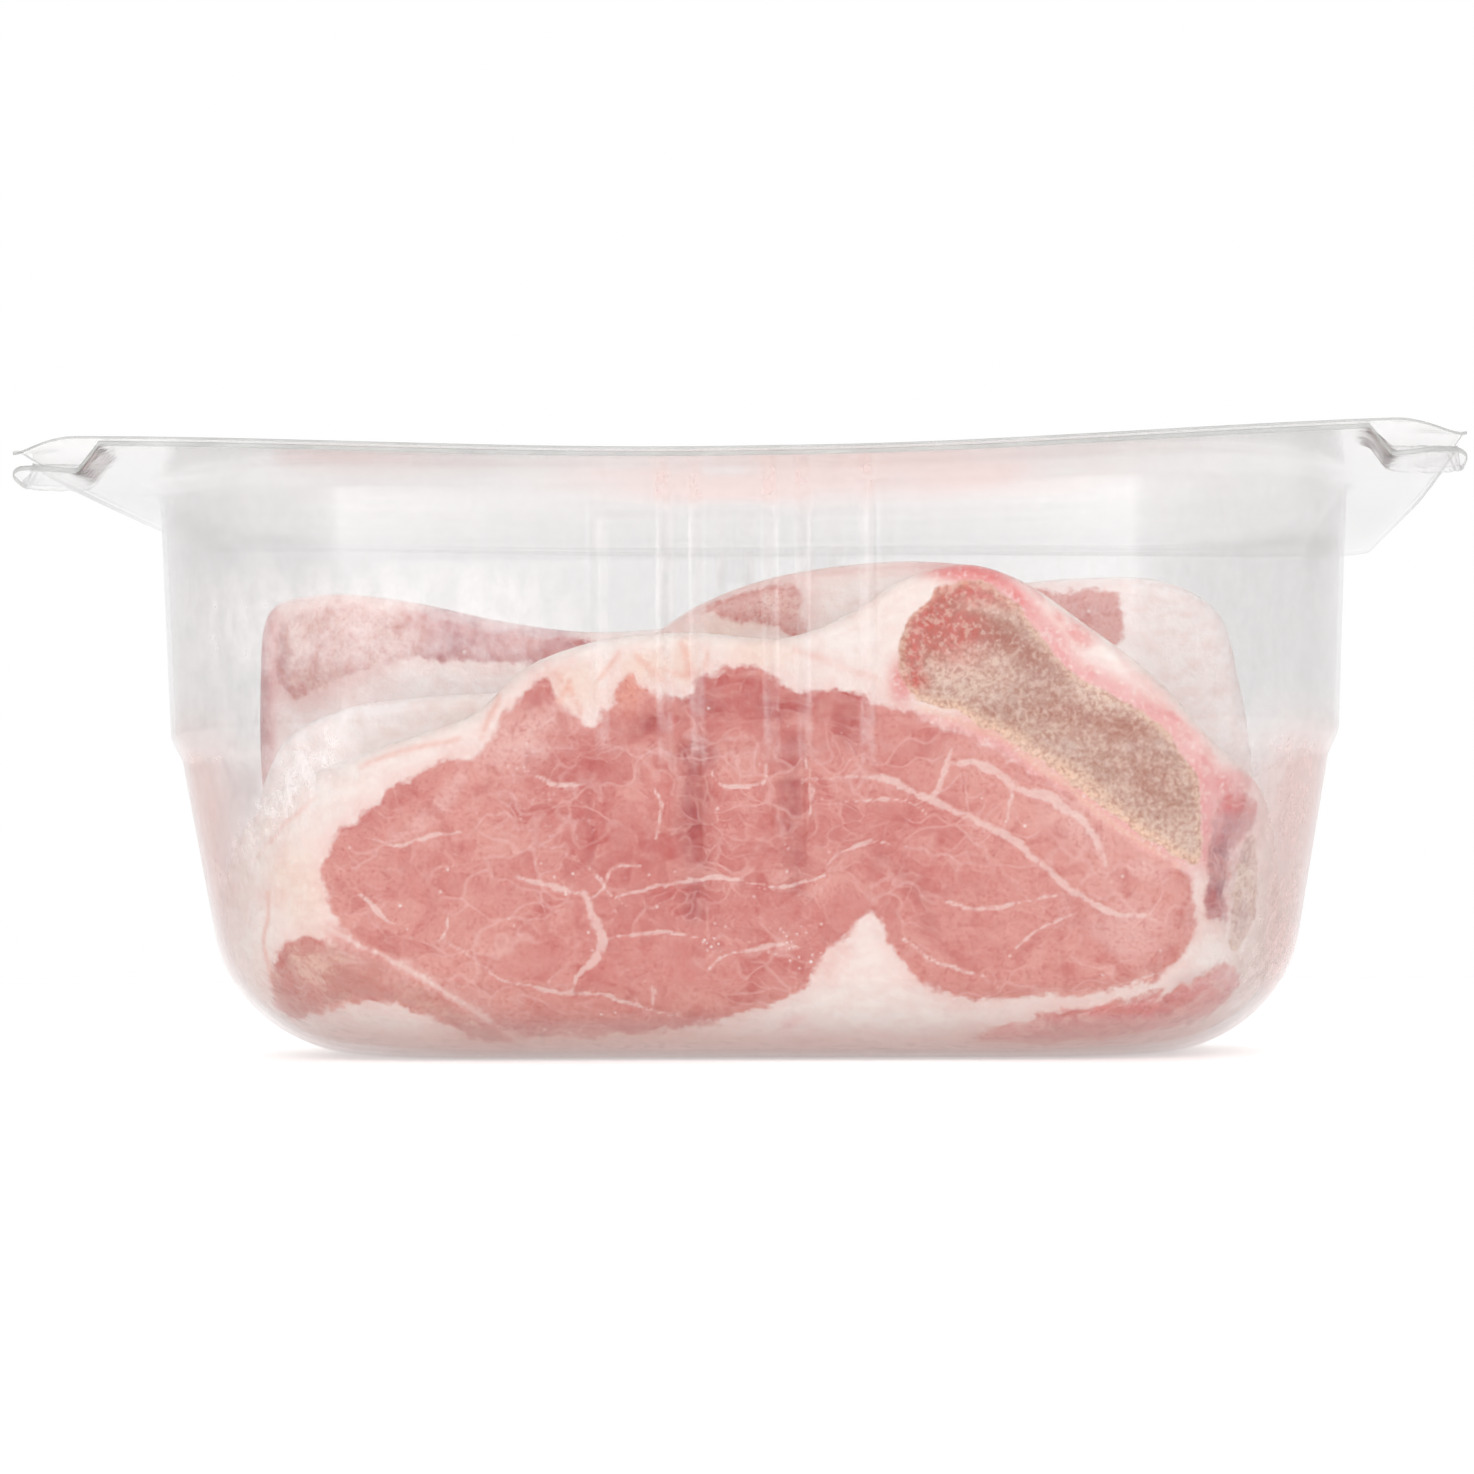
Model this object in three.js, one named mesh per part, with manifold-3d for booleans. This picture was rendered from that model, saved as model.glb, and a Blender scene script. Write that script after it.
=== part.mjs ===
// A shut tray pack of bone-in pork chops: a deep clear tray with a wide flange, a film lid sealed to it, and
// four chops that stand one behind the other. Millimetres, +Z up, +X along the long side, and the front looks
// along -Y. The origin is under the middle of the tray, on the surface that it stands on.
import * as THREE from "three";
import { mergeVertices } from "three/addons/utils/BufferGeometryUtils.js";
import Module from "manifold-3d";

const wasm = await Module();
wasm.setup();

// Driving dimensions
const FLANGE_X = 233; // outside, left to right
const FLANGE_Y = 150; // outside, front to back
const FLANGE_R = 8; // corner radius of the flange
const FLANGE_Z = 96.6; // underside of the flange at the middle of the front
const MOUTH_X = 204; // outside of the walls just under the flange
const MOUTH_Y = 123.2;
const WALL = 0.8; // thickness of the plastic
const FILM = 0.4; // thickness of the lid
const GAP = 0.35; // free space between the lid and the flange
const ROOT_R = 2.6; // fillet between the wall and the flange
const UPPER_DRAFT = 1.6; // how far the upper wall leans in
const STEP_IN = 2; // set-in of the stacking step
const STEP_LOW = 49.8; // heights of the step's foot and top
const STEP_TOP = 56;
const LOWER_DRAFT = THREE.MathUtils.degToRad(9.5);
const FOOT_R = 25; // radius between the wall and the bottom
const CORNER_R = 38; // plan radius of the wall's corners, at the mouth
const CORNER_SHRINK = 0.33; // how much that radius shrinks for each millimetre of set-in

// Ribs in the two long walls, pressed inwards
const PANEL_HALF = 21.8; // the shallow panel that holds the ribs
const PANEL_DEPTH = 0.7;
const RIB_AT = 8.5; // each rib's middle, either side of the wall's middle
const RIB_HALF = 1.8; // half the rib's flat
const RIB_FLARE = 1.7; // width of each sloping side
const RIB_DEPTH = 1.4;
const RIB_FOOT = 27; // heights between which the ribs run
const RIB_HEAD = 90;
const RIB_FADE = 4;

// Warp of the flange and lid, as the sealed pack has it. Each end has the rise of its front corner, of its
// back corner and of its side's middle, the share of the half-length where the long edges start to rise, and
// how fast that rise fades towards the middle.
const LEFT_END = { front: 3.3, back: 2.4, side: 1.4, start: 0, fade: 3 };
const RIGHT_END = { front: 2.9, back: -1.5, side: -1.1, start: 0.12, fade: 1.5 };
const SIDE_POWER = 8; // how closely a side's own rise keeps to its edge
const LIFT_FROM = 93; // the wall follows the warp only above this height
const LID_SAG = 2.2; // how far the lid hangs at its middle

// Peel corners: the two front corners of the flange are pressed down, clear of the lid, whose corners droop
const PEEL_X = 14.2;
const PEEL_Y = 16;
const PEEL_DEPTH = 3.3;
const PEEL_SLOPE = 1.4; // extra depth at the inner side
const PEEL_POWER = 5; // how square the pressed corner is
const PEEL_WALL = 0.12; // half-width of its wall, as a share of its size
const DROOP = 2.4; // how far a front corner of the lid hangs
const DROOP_REACH = 12; // how far from the corner that starts

// The stack of chops
const CHOPS = 4;
const STACK = 95; // front face to back face
const FACE_Y = -50.2; // the front chop's face at the height FACE_Z
const FACE_Z = 24;
const FACE_LEAN = 0.13; // how far the face leans out for each millimetre of height
const CLEAR = 0.9; // free space between the meat and the walls
const CHOP_GAP = 1.4; // free space between neighbouring chops
const SEAM = 0.3; // free space between a chop's own pieces
const EDGE = 2.6; // rounding of a chop's edge
const OUTLINE_STEPS = 32; // points round a chop
const FACE_SHARES = [0.5, 0.74, 0.9]; // rings on a chop's face, as shares of its outline
const PIECE_DETAIL = 1.4; // points on a muscle's or bone's outline for each of its control points
const PRISM = 160; // length of the cutting prisms

const clamp01 = (t) => Math.min(Math.max(t, 0), 1);
const smooth = (a, b, x) => {
  const t = clamp01((x - a) / (b - a));
  return t * t * (3 - 2 * t);
};
const lerp = THREE.MathUtils.lerp;

// The tray's outer profile, from the edge of its flat bottom to the flange: outward distances from the mouth,
// and heights.
function trayProfile() {
  const foot = [];
  const footTop = FOOT_R * (1 - Math.sin(LOWER_DRAFT));
  const lowerIn = UPPER_DRAFT + STEP_IN + (STEP_LOW - footTop) * Math.tan(LOWER_DRAFT);
  const centre = lowerIn + FOOT_R * Math.cos(LOWER_DRAFT);
  const footSteps = 4;
  for (let i = 0; i <= footSteps; i++) {
    const turn = ((Math.PI / 2 - LOWER_DRAFT) * i) / footSteps;
    foot.push([-centre + FOOT_R * Math.sin(turn), FOOT_R * (1 - Math.cos(turn))]);
  }
  const step = [0, 0.3, 0.55, 0.8, 1].map((t) => [
    -UPPER_DRAFT - STEP_IN * (1 - smooth(0, 1, t)),
    lerp(STEP_LOW, STEP_TOP, t),
  ]);
  const root = [0, 0.5, 1].map((t) => [
    ROOT_R * (1 - Math.cos((t * Math.PI) / 2)),
    FLANGE_Z - ROOT_R * (1 - Math.sin((t * Math.PI) / 2)),
  ]);
  return [...foot, ...step, ...root];
}

// The same profile moved inwards by the plastic's thickness.
function innerProfile(outer) {
  return outer.map(([o, z], i) => {
    const [o0, z0] = i ? outer[i - 1] : [o - 1, z];
    const [o1, z1] = i < outer.length - 1 ? outer[i + 1] : [o + 1, z];
    const length = Math.hypot(o1 - o0, z1 - z0);
    return [o - (WALL * (z1 - z0)) / length, z + (WALL * (o1 - o0)) / length];
  });
}

const OUTER = trayProfile();
const INNER = innerProfile(OUTER);

// Stations along the straight sides of a ring, shared by every ring so that the ribs run true.
const RIB_STATIONS = [
  PANEL_HALF + RIB_FLARE,
  PANEL_HALF,
  RIB_AT + RIB_HALF + RIB_FLARE,
  RIB_AT + RIB_HALF,
  RIB_AT - RIB_HALF,
  RIB_AT - RIB_HALF - RIB_FLARE,
];
const LONG_SHARES = [0.96, 0.92, 0.5];
const SHORT_SHARES = [-0.91, -0.84, -0.35, 0.3, 0.85];
const FRONT_CORNER_STEPS = 7;
const BACK_CORNER_STEPS = 5;

// A rounded rectangle's points, anticlockwise from the left end of the front side.
function ring(halfX, halfY, radius, stations = RIB_STATIONS) {
  const straightX = halfX - radius;
  const straightY = halfY - radius;
  const right = [...LONG_SHARES.map((s) => lerp(stations[0], straightX, s)), ...stations];
  const across = [...right.map((x) => -x), ...right.slice().reverse()];
  const points = [];
  const corner = (cx, cy, from, steps) => {
    for (let i = 0; i <= steps; i++) {
      const a = THREE.MathUtils.degToRad(from + (90 * i) / steps);
      points.push([cx + radius * Math.cos(a), cy + radius * Math.sin(a)]);
    }
  };
  across.forEach((x) => points.push([x, -halfY]));
  corner(straightX, -straightY, -90, FRONT_CORNER_STEPS);
  SHORT_SHARES.forEach((s) => points.push([halfX, s * straightY]));
  corner(straightX, straightY, 0, BACK_CORNER_STEPS);
  across.forEach((x) => points.push([-x, halfY]));
  corner(-straightX, straightY, 90, BACK_CORNER_STEPS);
  SHORT_SHARES.forEach((s) => points.push([-halfX, -s * straightY]));
  corner(-straightX, -straightY, 180, FRONT_CORNER_STEPS);
  return points;
}

// A ring of the wall, moved out from the mouth: base is the outer surface's distance, and shift the rest of
// the way.
const wallRing = (o, [base, shift], stations) =>
  ring(MOUTH_X / 2 + o, MOUTH_Y / 2 + o, CORNER_R + CORNER_SHRINK * base + shift, stations);

// How far a rib or its panel is pressed in at this place along a long wall.
function pressedIn(x, z) {
  const above = smooth(RIB_FOOT - RIB_FADE, RIB_FOOT + RIB_FADE, z);
  const run = above * (1 - smooth(RIB_HEAD, RIB_HEAD + RIB_FADE, z));
  const panel = 1 - smooth(PANEL_HALF, PANEL_HALF + RIB_FLARE, Math.abs(x));
  const rib = 1 - smooth(RIB_HALF, RIB_HALF + RIB_FLARE, Math.abs(Math.abs(x) - RIB_AT));
  return run * (PANEL_DEPTH * panel + RIB_DEPTH * rib);
}

// The rise of the flange and lid above the flat.
function lift(x, y) {
  const u = Math.abs(x) / (FLANGE_X / 2);
  const v = Math.abs(y) / (FLANGE_Y / 2);
  const end = x < 0 ? LEFT_END : RIGHT_END;
  const corner = (y < 0 ? end.front : end.back) * smooth(end.start, 1, u);
  return lerp(end.side * u ** SIDE_POWER, corner, v ** end.fade);
}

// How far the flange is pressed down at a peel corner.
function peel(x, y) {
  const p = (FLANGE_X / 2 - Math.abs(x)) / PEEL_X;
  const q = (FLANGE_Y / 2 + y) / PEEL_Y;
  const reach = (Math.max(p, 0) ** PEEL_POWER + Math.max(q, 0) ** PEEL_POWER) ** (1 / PEEL_POWER);
  return (PEEL_DEPTH + PEEL_SLOPE * clamp01(reach)) * (1 - smooth(1 - PEEL_WALL, 1 + PEEL_WALL, reach));
}

// How far the lid's own front corners hang down towards the pressed flange.
function droop(x, y) {
  const p = smooth(0, DROOP_REACH, DROOP_REACH - FLANGE_X / 2 + Math.abs(x));
  const q = smooth(0, DROOP_REACH, DROOP_REACH - FLANGE_Y / 2 - y);
  return DROOP * p * q;
}

// A closed surface from rings of equal length: a pole, the rings, and a second pole.
function closedRings(first, rings, last) {
  const n = rings[0].length;
  const positions = [first, ...rings.flat(), last].flat();
  const at = (i, j) => 1 + i * n + (j % n);
  const end = 1 + rings.length * n;
  const index = [];
  for (let j = 0; j < n; j++) {
    index.push(0, at(0, j + 1), at(0, j));
    index.push(end, at(rings.length - 1, j), at(rings.length - 1, j + 1));
    for (let i = 0; i < rings.length - 1; i++) {
      index.push(at(i, j), at(i, j + 1), at(i + 1, j + 1));
      index.push(at(i, j), at(i + 1, j + 1), at(i + 1, j));
    }
  }
  const geometry = new THREE.BufferGeometry();
  geometry.setAttribute("position", new THREE.Float32BufferAttribute(positions, 3));
  geometry.setIndex(index);
  return geometry;
}

const lifted = (x, y, z) => z + lift(x, y) * smooth(LIFT_FROM, FLANGE_Z, z);
const FLANGE_SHARES = [0.3, 0.55, 0.7, 0.8, 0.88, 0.94, 1];

function trayGeometry() {
  const wall = (profile) =>
    profile.map(([o, z], i) =>
      wallRing(o, [OUTER[i][0], o - OUTER[i][0]]).map(([x, y]) => [
        x,
        y - Math.sign(y) * pressedIn(x, z) * (Math.abs(x) < PANEL_HALF + RIB_FLARE + 1 ? 1 : 0),
        lifted(x, y, z),
      ]),
    );
  const last = OUTER[OUTER.length - 1][0];
  const start = wallRing(last, [last, 0]);
  const edge = ring(FLANGE_X / 2, FLANGE_Y / 2, FLANGE_R);
  const flange = (rise) =>
    FLANGE_SHARES.map((t) =>
      start.map(([x0, y0], j) => {
        const x = lerp(x0, edge[j][0], t);
        const y = lerp(y0, edge[j][1], t);
        return [x, y, FLANGE_Z + rise + lift(x, y) - peel(x, y)];
      }),
    );
  const outside = [...wall(OUTER), ...flange(0)];
  const inside = [...wall(INNER), ...flange(WALL)].reverse();
  return closedRings([0, 0, 0], [...outside, ...inside], [0, 0, WALL]);
}

const LID_SHARES = [0, 0.75, 1];
const LID_INNER_SHARES = [0.5];
const LID_STATIONS = [PANEL_HALF + RIB_FLARE];

function lidGeometry() {
  const last = OUTER[OUTER.length - 1][0];
  const start = wallRing(last, [last, 0], LID_STATIONS);
  const edge = ring(FLANGE_X / 2, FLANGE_Y / 2, FLANGE_R, LID_STATIONS);
  const base = FLANGE_Z + WALL + GAP;
  const slack = (distance, half) => clamp01(1 - (distance / half) ** 2);
  const sag = (x, y) => LID_SAG * slack(x, MOUTH_X / 2) * slack(y, MOUTH_Y / 2);
  const place = (x, y, rise) => [x, y, base + rise + lift(x, y) - sag(x, y) - droop(x, y)];
  const between = ([x, y], j, t) => [lerp(x, edge[j][0], t), lerp(y, edge[j][1], t)];
  const sheet = (rise) => [
    ...LID_INNER_SHARES.map((s) => start.map(([x, y]) => place(s * x, s * y, rise))),
    ...LID_SHARES.map((t) => start.map((point, j) => place(...between(point, j, t), rise))),
  ];
  return closedRings(place(0, 0, 0), [...sheet(0), ...sheet(FILM).reverse()], place(0, 0, FILM));
}

// The inside of the front wall at this place, as a y coordinate.
function frontWallY(x, z) {
  let k = 1;
  while (k < INNER.length - 1 && INNER[k][1] < z) k++;
  const t = clamp01((z - INNER[k - 1][1]) / (INNER[k][1] - INNER[k - 1][1]));
  const o = lerp(INNER[k - 1][0], INNER[k][0], t);
  const radius = CORNER_R + CORNER_SHRINK * o - WALL;
  const along = Math.min(Math.max(Math.abs(x) - (MOUTH_X / 2 + o - radius), 0), radius * 0.99);
  return -(MOUTH_Y / 2 + o - radius) - Math.sqrt(radius * radius - along * along);
}

// The face between two chops: the first follows the front wall, the last the back wall.
function stackY(share, x, z) {
  const wall = frontWallY(x, z) + CLEAR;
  const face = FACE_Y - FACE_LEAN * (z - FACE_Z);
  return lerp(Math.max(face, wall), Math.min(face + STACK, -wall), share);
}

// A smooth closed outline through a few points, each [x, z].
function outline(points, steps) {
  const curve = new THREE.CatmullRomCurve3(
    points.map(([x, z]) => new THREE.Vector3(x, z, 0)),
    true,
    "centripetal",
  );
  return curve.getSpacedPoints(steps).slice(0, steps).map((p) => new THREE.Vector2(p.x, p.y));
}

// The outline moved outwards by a distance, or inwards by a negative one. It runs anticlockwise.
function grown(points, distance) {
  const n = points.length;
  return points.map((p, i) => {
    const along = points[(i + 1) % n].clone().sub(points[(i + n - 1) % n]).normalize();
    return new THREE.Vector2(p.x + along.y * distance, p.y - along.x * distance);
  });
}

const anticlockwise = (points) => (THREE.ShapeUtils.area(points) < 0 ? points.slice().reverse() : points);

// A whole chop, before its muscles and bones are cut out: a bent slab with rounded edges.
function slab(shape, place) {
  const points = anticlockwise(outline(shape, OUTLINE_STEPS));
  const middle = points.reduce((a, p) => a.add(p), new THREE.Vector2()).divideScalar(points.length);
  const rim = grown(points, -EDGE);
  const at = (p, share) => {
    const front = stackY(place / CHOPS, p.x, p.y) + CHOP_GAP / 2;
    const back = stackY((place + 1) / CHOPS, p.x, p.y) - CHOP_GAP / 2;
    return [p.x, lerp(front, back, share), p.y];
  };
  const shrunk = (s, share) => rim.map((p) => at(middle.clone().lerp(p, s), share));
  const rings = [
    ...FACE_SHARES.map((s) => shrunk(s, 1)),
    rim.map((p) => at(p, 1)),
    points.map((p) => at(p, 0.84)),
    points.map((p) => at(p, 0.16)),
    rim.map((p) => at(p, 0)),
    ...FACE_SHARES.map((s) => shrunk(s, 0)).reverse(),
  ];
  return closedRings(at(middle, 1), rings, at(middle, 0));
}

function toSolid(geometry) {
  const bare = geometry.clone();
  bare.deleteAttribute("normal");
  bare.deleteAttribute("uv");
  const merged = mergeVertices(bare, 1e-4);
  return new wasm.Manifold(
    new wasm.Mesh({
      numProp: 3,
      vertProperties: merged.attributes.position.array,
      triVerts: new Uint32Array(merged.index.array),
    }),
  );
}

function toGeometry(solid) {
  const mesh = solid.getMesh();
  const geometry = new THREE.BufferGeometry();
  geometry.setAttribute("position", new THREE.BufferAttribute(new Float32Array(mesh.vertProperties), 3));
  geometry.setIndex(new THREE.BufferAttribute(new Uint32Array(mesh.triVerts), 1));
  return geometry;
}

// A prism with this outline, long enough to run through the whole stack.
function prism(shape, growth) {
  const points = grown(anticlockwise(outline(shape, Math.round(shape.length * PIECE_DETAIL))), growth);
  const geometry = new THREE.ExtrudeGeometry(new THREE.Shape(points), { depth: PRISM, bevelEnabled: false });
  geometry.translate(0, 0, -PRISM / 2).rotateX(Math.PI / 2);
  return toSolid(geometry);
}

// Outlines of the front chop, as seen from the front: x and height, in millimetres.
const FRONT_CHOP = {
  body: [
    [-90, 18], [-89.8, 27], [-86.4, 35.5], [-78.5, 44], [-66, 50], [-52, 54.5], [-43, 58], [-35, 65],
    [-22, 69.5], [-8, 70.5], [8, 69.5], [18, 73], [27, 78.5], [37, 81], [46, 78.5], [57, 71], [68, 62.5],
    [77, 52.5], [85.5, 44.5], [88.5, 34], [89, 20], [85, 9.6], [76, 3.6], [54, 1.6], [20, 1.5], [-20, 1.5],
    [-54, 1.7], [-76, 3.8], [-85.5, 9.4],
  ],
  eye: [
    [-68.5, 27], [-67.5, 36], [-61, 42], [-50, 49.3], [-42, 51], [-38, 57.5], [-31, 63], [-28.5, 58.5],
    [-24, 55], [-20.5, 59], [-17.5, 64], [-13.5, 60.5], [-9, 59.5], [-4.5, 63.5], [3, 64.5], [10, 60.5],
    [18, 60.5], [26, 57.5], [35, 54.5], [45, 49.5], [56, 42], [66, 34], [73.5, 29.5], [74, 22], [71, 15.5],
    [58, 11.5], [44, 10.5], [32, 11.5], [26.5, 17], [21.5, 25], [15.5, 19], [9, 11.5], [-4, 7], [-22, 4.6],
    [-37, 4.8], [-46, 10.6], [-55, 16.6], [-65, 21.6],
  ],
  flank: [
    [-80.5, 11], [-79, 17], [-74, 20.8], [-66, 19.8], [-55.6, 14.8], [-46.6, 8.8], [-39.5, 3.4], [-44, 3.2],
    [-51, 7.4], [-59, 9.8], [-67, 9.6], [-73.5, 8], [-78, 6.8],
  ],
  belly: [
    [38, 3], [46, 6.4], [55, 8.7], [64, 9.8], [73, 12.4], [81, 15.4], [82.6, 12.6], [78, 8.2], [69, 4.8],
    [56, 3], [46, 2.6],
  ],
  bone: [
    [26.8, 64], [27.5, 70.5], [32, 76], [38.5, 78.3], [44, 75.8], [49.5, 69.5], [55, 62.8], [63, 58.5],
    [70, 53.5], [74.5, 46], [75.3, 38], [74.3, 32.2], [68, 35.3], [58, 42.8], [48, 50.3], [37, 56.3],
    [29.5, 59.5],
  ],
  collar: [
    [76.6, 23], [76.3, 31], [77.3, 39], [80, 43.8], [84.3, 42.5], [84.6, 38.6], [81.4, 36], [79.6, 30],
    [79, 23],
  ],
  spur: [
    [80.6, 18], [80.8, 26], [82.2, 34.4], [84.4, 36.6], [85, 30], [83.8, 21.5],
  ],
};

const SECOND_CHOP = {
  body: [
    [-84, 17], [-87, 31], [-86, 45], [-80, 55], [-70, 60], [-56, 62], [-40, 63], [-28, 66], [-18.6, 70.7],
    [-8.3, 77], [3, 81.2], [16, 83.4], [30, 84], [42, 82], [55, 72], [68, 60], [80, 50], [86, 37], [84, 18],
    [75, 6], [56, 1.9], [20, 1.5], [-20, 1.5], [-56, 2.2], [-75, 6.5],
  ],
  eye: [
    [-22, 59], [-8, 63], [6, 64], [18, 61], [32, 54], [58, 42], [74, 28], [68, 12], [40, 8], [0, 7], [-40, 8],
    [-68, 16], [-71, 32], [-60, 44], [-40, 53],
  ],
  cap: [
    [-7.8, 75.6], [-2, 78], [4, 79.4], [9.4, 79.8], [9.8, 75.5], [9.4, 71.4], [6, 73], [2, 74.3], [-3, 75],
  ],
  bone: [
    [26, 66], [28, 76], [36, 79], [46, 74], [58, 62], [70, 50], [77, 38], [73, 35], [58, 46], [40, 57],
  ],
};

const THIRD_CHOP = {
  body: [
    [-86, 14], [-89.5, 30], [-90.6, 46], [-90.4, 64], [-88, 79.5], [-78, 82], [-62, 80.5], [-46, 77],
    [-30, 74.8], [-8, 76], [16, 79], [38, 81.5], [58, 83.2], [72, 82.4], [81.5, 77], [85, 66], [87.6, 50],
    [88.6, 34], [85, 15], [75, 4.6], [48, 1.7], [10, 1.5], [-30, 1.5], [-62, 2.4], [-78, 5.4],
  ],
  eye: [
    [-76, 20], [-82, 34], [-80, 46], [-66, 53], [-48, 57], [-26, 62], [-4, 64], [18, 60], [38, 50], [60, 38],
    [70, 24], [60, 11], [30, 8], [-10, 8], [-50, 10],
  ],
  cap: [
    [-84, 64], [-86, 71], [-85, 77], [-77, 79.4], [-62, 78.2], [-46, 74.8], [-30, 72.6], [-26.5, 71],
    [-34, 69.2], [-48, 69.4], [-60, 70.4], [-72, 68],
  ],
  bone: [
    [20, 60], [24, 70], [34, 74], [46, 68.5], [58, 58.5], [70, 46], [76, 36], [72, 33], [60, 42], [44, 52],
    [30, 57],
  ],
  tail: [
    [44, 79.6], [56, 80.8], [63.5, 80.4], [65, 75], [61, 69.5], [54, 72.5], [48, 76.4],
  ],
};

const BACK_CHOP = {
  body: [
    [-82, 17], [-84.5, 30], [-80, 44], [-68, 54], [-50, 61], [-30, 66], [-8, 68.5], [14, 70], [28, 73.5],
    [40, 74.5], [54, 69], [68, 58], [79, 46], [84, 33], [82, 17], [73, 5.6], [50, 1.7], [10, 1.5],
    [-30, 1.5], [-64, 3.4],
  ],
  eye: [
    [-67, 22], [-68, 34], [-58, 46], [-40, 54], [-20, 60], [2, 63], [18, 60], [34, 52], [52, 42], [68, 31],
    [72, 20], [60, 10], [36, 9], [27, 15], [20, 23], [12, 15], [0, 7.5], [-30, 6.5], [-56, 12],
  ],
  bone: [
    [25, 63], [28, 69.5], [37, 71.5], [48, 67], [62, 56], [72, 44], [76, 34], [72, 31.5], [58, 42],
    [40, 54.5],
  ],
};

function material(color, roughness, opacity = 1) {
  const transparent = opacity < 1;
  return new THREE.MeshStandardMaterial({ color, roughness, metalness: 0, opacity, transparent });
}

const clearPlastic = material(0xe6e8e8, 0.12, 0.25);
const clearFilm = material(0xeef0f0, 0.08, 0.2);
const fatWhite = material(0xf0ded6, 0.45);
const leanPink = material(0xd3706c, 0.4);
const leanDark = material(0xa85a5e, 0.45);
const boneGrey = material(0xc9a995, 0.7);

const pack = new THREE.Group();

function add(name, geometry, finish) {
  const mesh = new THREE.Mesh(geometry, finish);
  mesh.name = name;
  pack.add(mesh);
}

// One chop: its body becomes the fat, with each muscle and bone cut from it and added as a solid of its own.
function addChop(name, place, shapes, finishes) {
  const whole = toSolid(slab(shapes.body, place));
  let fat = whole;
  for (const [piece, finish] of Object.entries(finishes)) {
    fat = fat.subtract(prism(shapes[piece], SEAM));
    add(`${name}_${piece}`, toGeometry(whole.intersect(prism(shapes[piece], 0))), finish);
  }
  add(`${name}_fat`, toGeometry(fat), fatWhite);
}

add("tray", trayGeometry(), clearPlastic);
add("lid_film", lidGeometry(), clearFilm);
addChop("front_chop", 0, FRONT_CHOP, {
  eye: leanPink,
  flank: leanPink,
  belly: leanPink,
  bone: boneGrey,
  collar: leanDark,
  spur: boneGrey,
});
addChop("second_chop", 1, SECOND_CHOP, { eye: leanPink, cap: leanPink, bone: boneGrey });
addChop("third_chop", 2, THIRD_CHOP, { eye: leanDark, cap: leanDark, bone: boneGrey, tail: leanDark });
addChop("back_chop", 3, BACK_CHOP, { eye: leanPink, bone: boneGrey });

export default pack;
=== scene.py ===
# A shut tray pack of bone-in pork chops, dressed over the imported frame: clear tray and lid, and four chops
# with their fat, muscles and bones. Sizes are in millimetres until a mesh is made.
import math

import bpy
import numpy as np
from mathutils import Matrix, Vector


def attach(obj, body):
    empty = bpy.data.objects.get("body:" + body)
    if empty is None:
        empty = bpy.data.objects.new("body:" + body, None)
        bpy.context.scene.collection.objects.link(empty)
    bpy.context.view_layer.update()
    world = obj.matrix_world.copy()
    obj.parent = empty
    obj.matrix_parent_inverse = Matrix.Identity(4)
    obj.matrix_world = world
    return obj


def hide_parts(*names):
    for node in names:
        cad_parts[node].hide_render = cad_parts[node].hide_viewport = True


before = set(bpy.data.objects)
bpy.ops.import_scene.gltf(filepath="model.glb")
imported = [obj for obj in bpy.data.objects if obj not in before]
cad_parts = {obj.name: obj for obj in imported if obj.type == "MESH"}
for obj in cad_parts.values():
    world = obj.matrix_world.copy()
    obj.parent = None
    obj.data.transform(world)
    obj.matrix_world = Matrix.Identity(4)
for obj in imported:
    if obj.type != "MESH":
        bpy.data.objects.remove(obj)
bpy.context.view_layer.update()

MM = 0.001

# Driving dimensions, as in the part's source
FLANGE_X = 233
FLANGE_Y = 150
FLANGE_R = 8
FLANGE_Z = 96.6
MOUTH_X = 204
MOUTH_Y = 123.2
WALL = 0.8
FILM = 0.4
GAP = 0.35
ROOT_R = 2.6
UPPER_DRAFT = 1.6
STEP_IN = 2
STEP_LOW = 49.8
STEP_TOP = 56
LOWER_DRAFT = math.radians(9.5)
FOOT_R = 25
CORNER_R = 38
CORNER_SHRINK = 0.33
PANEL_HALF = 21.8
PANEL_DEPTH = 0.7
RIB_AT = 8.5
RIB_HALF = 1.8
RIB_FLARE = 1.7
RIB_DEPTH = 1.4
RIB_FOOT = 27
RIB_HEAD = 90
RIB_FADE = 4
RIB_FOOT_FADE = 11
LEFT_END = {"front": 3.3, "back": 2.4, "side": 1.4, "start": 0, "fade": 3}
RIGHT_END = {"front": 2.9, "back": -1.5, "side": -1.1, "start": 0.12, "fade": 1.5}
SIDE_POWER = 8
LIFT_FROM = 93
LID_SAG = 2.2
PEEL_X = 14.2
PEEL_Y = 16
PEEL_DEPTH = 3.3
PEEL_SLOPE = 1.4
PEEL_POWER = 5
PEEL_WALL = 0.12
DROOP = 2.4
DROOP_REACH = 12
CHOPS = 4
STACK = 95
FACE_Y = -50.2
FACE_Z = 24
FACE_LEAN = 0.13
CLEAR = 0.9
CHOP_GAP = 1.4
EDGE = 2.6

# The light and the camera. Angles are in radians, the focal length in pixels of the square picture
SURROUND_LIGHT = 0.42
FLOOR_GLOW = 0.4
CAMERA_FAR = 526.372
CAMERA_SIDE = 1.626
CAMERA_HEIGHT = 24.243
CAMERA_YAW = math.radians(4.256)
CAMERA_PITCH = math.radians(3.035)
CAMERA_ROLL = math.radians(-0.301)
FOCAL_PIXELS = 3358.352
PICTURE = 1474
SENSOR = 36


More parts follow.
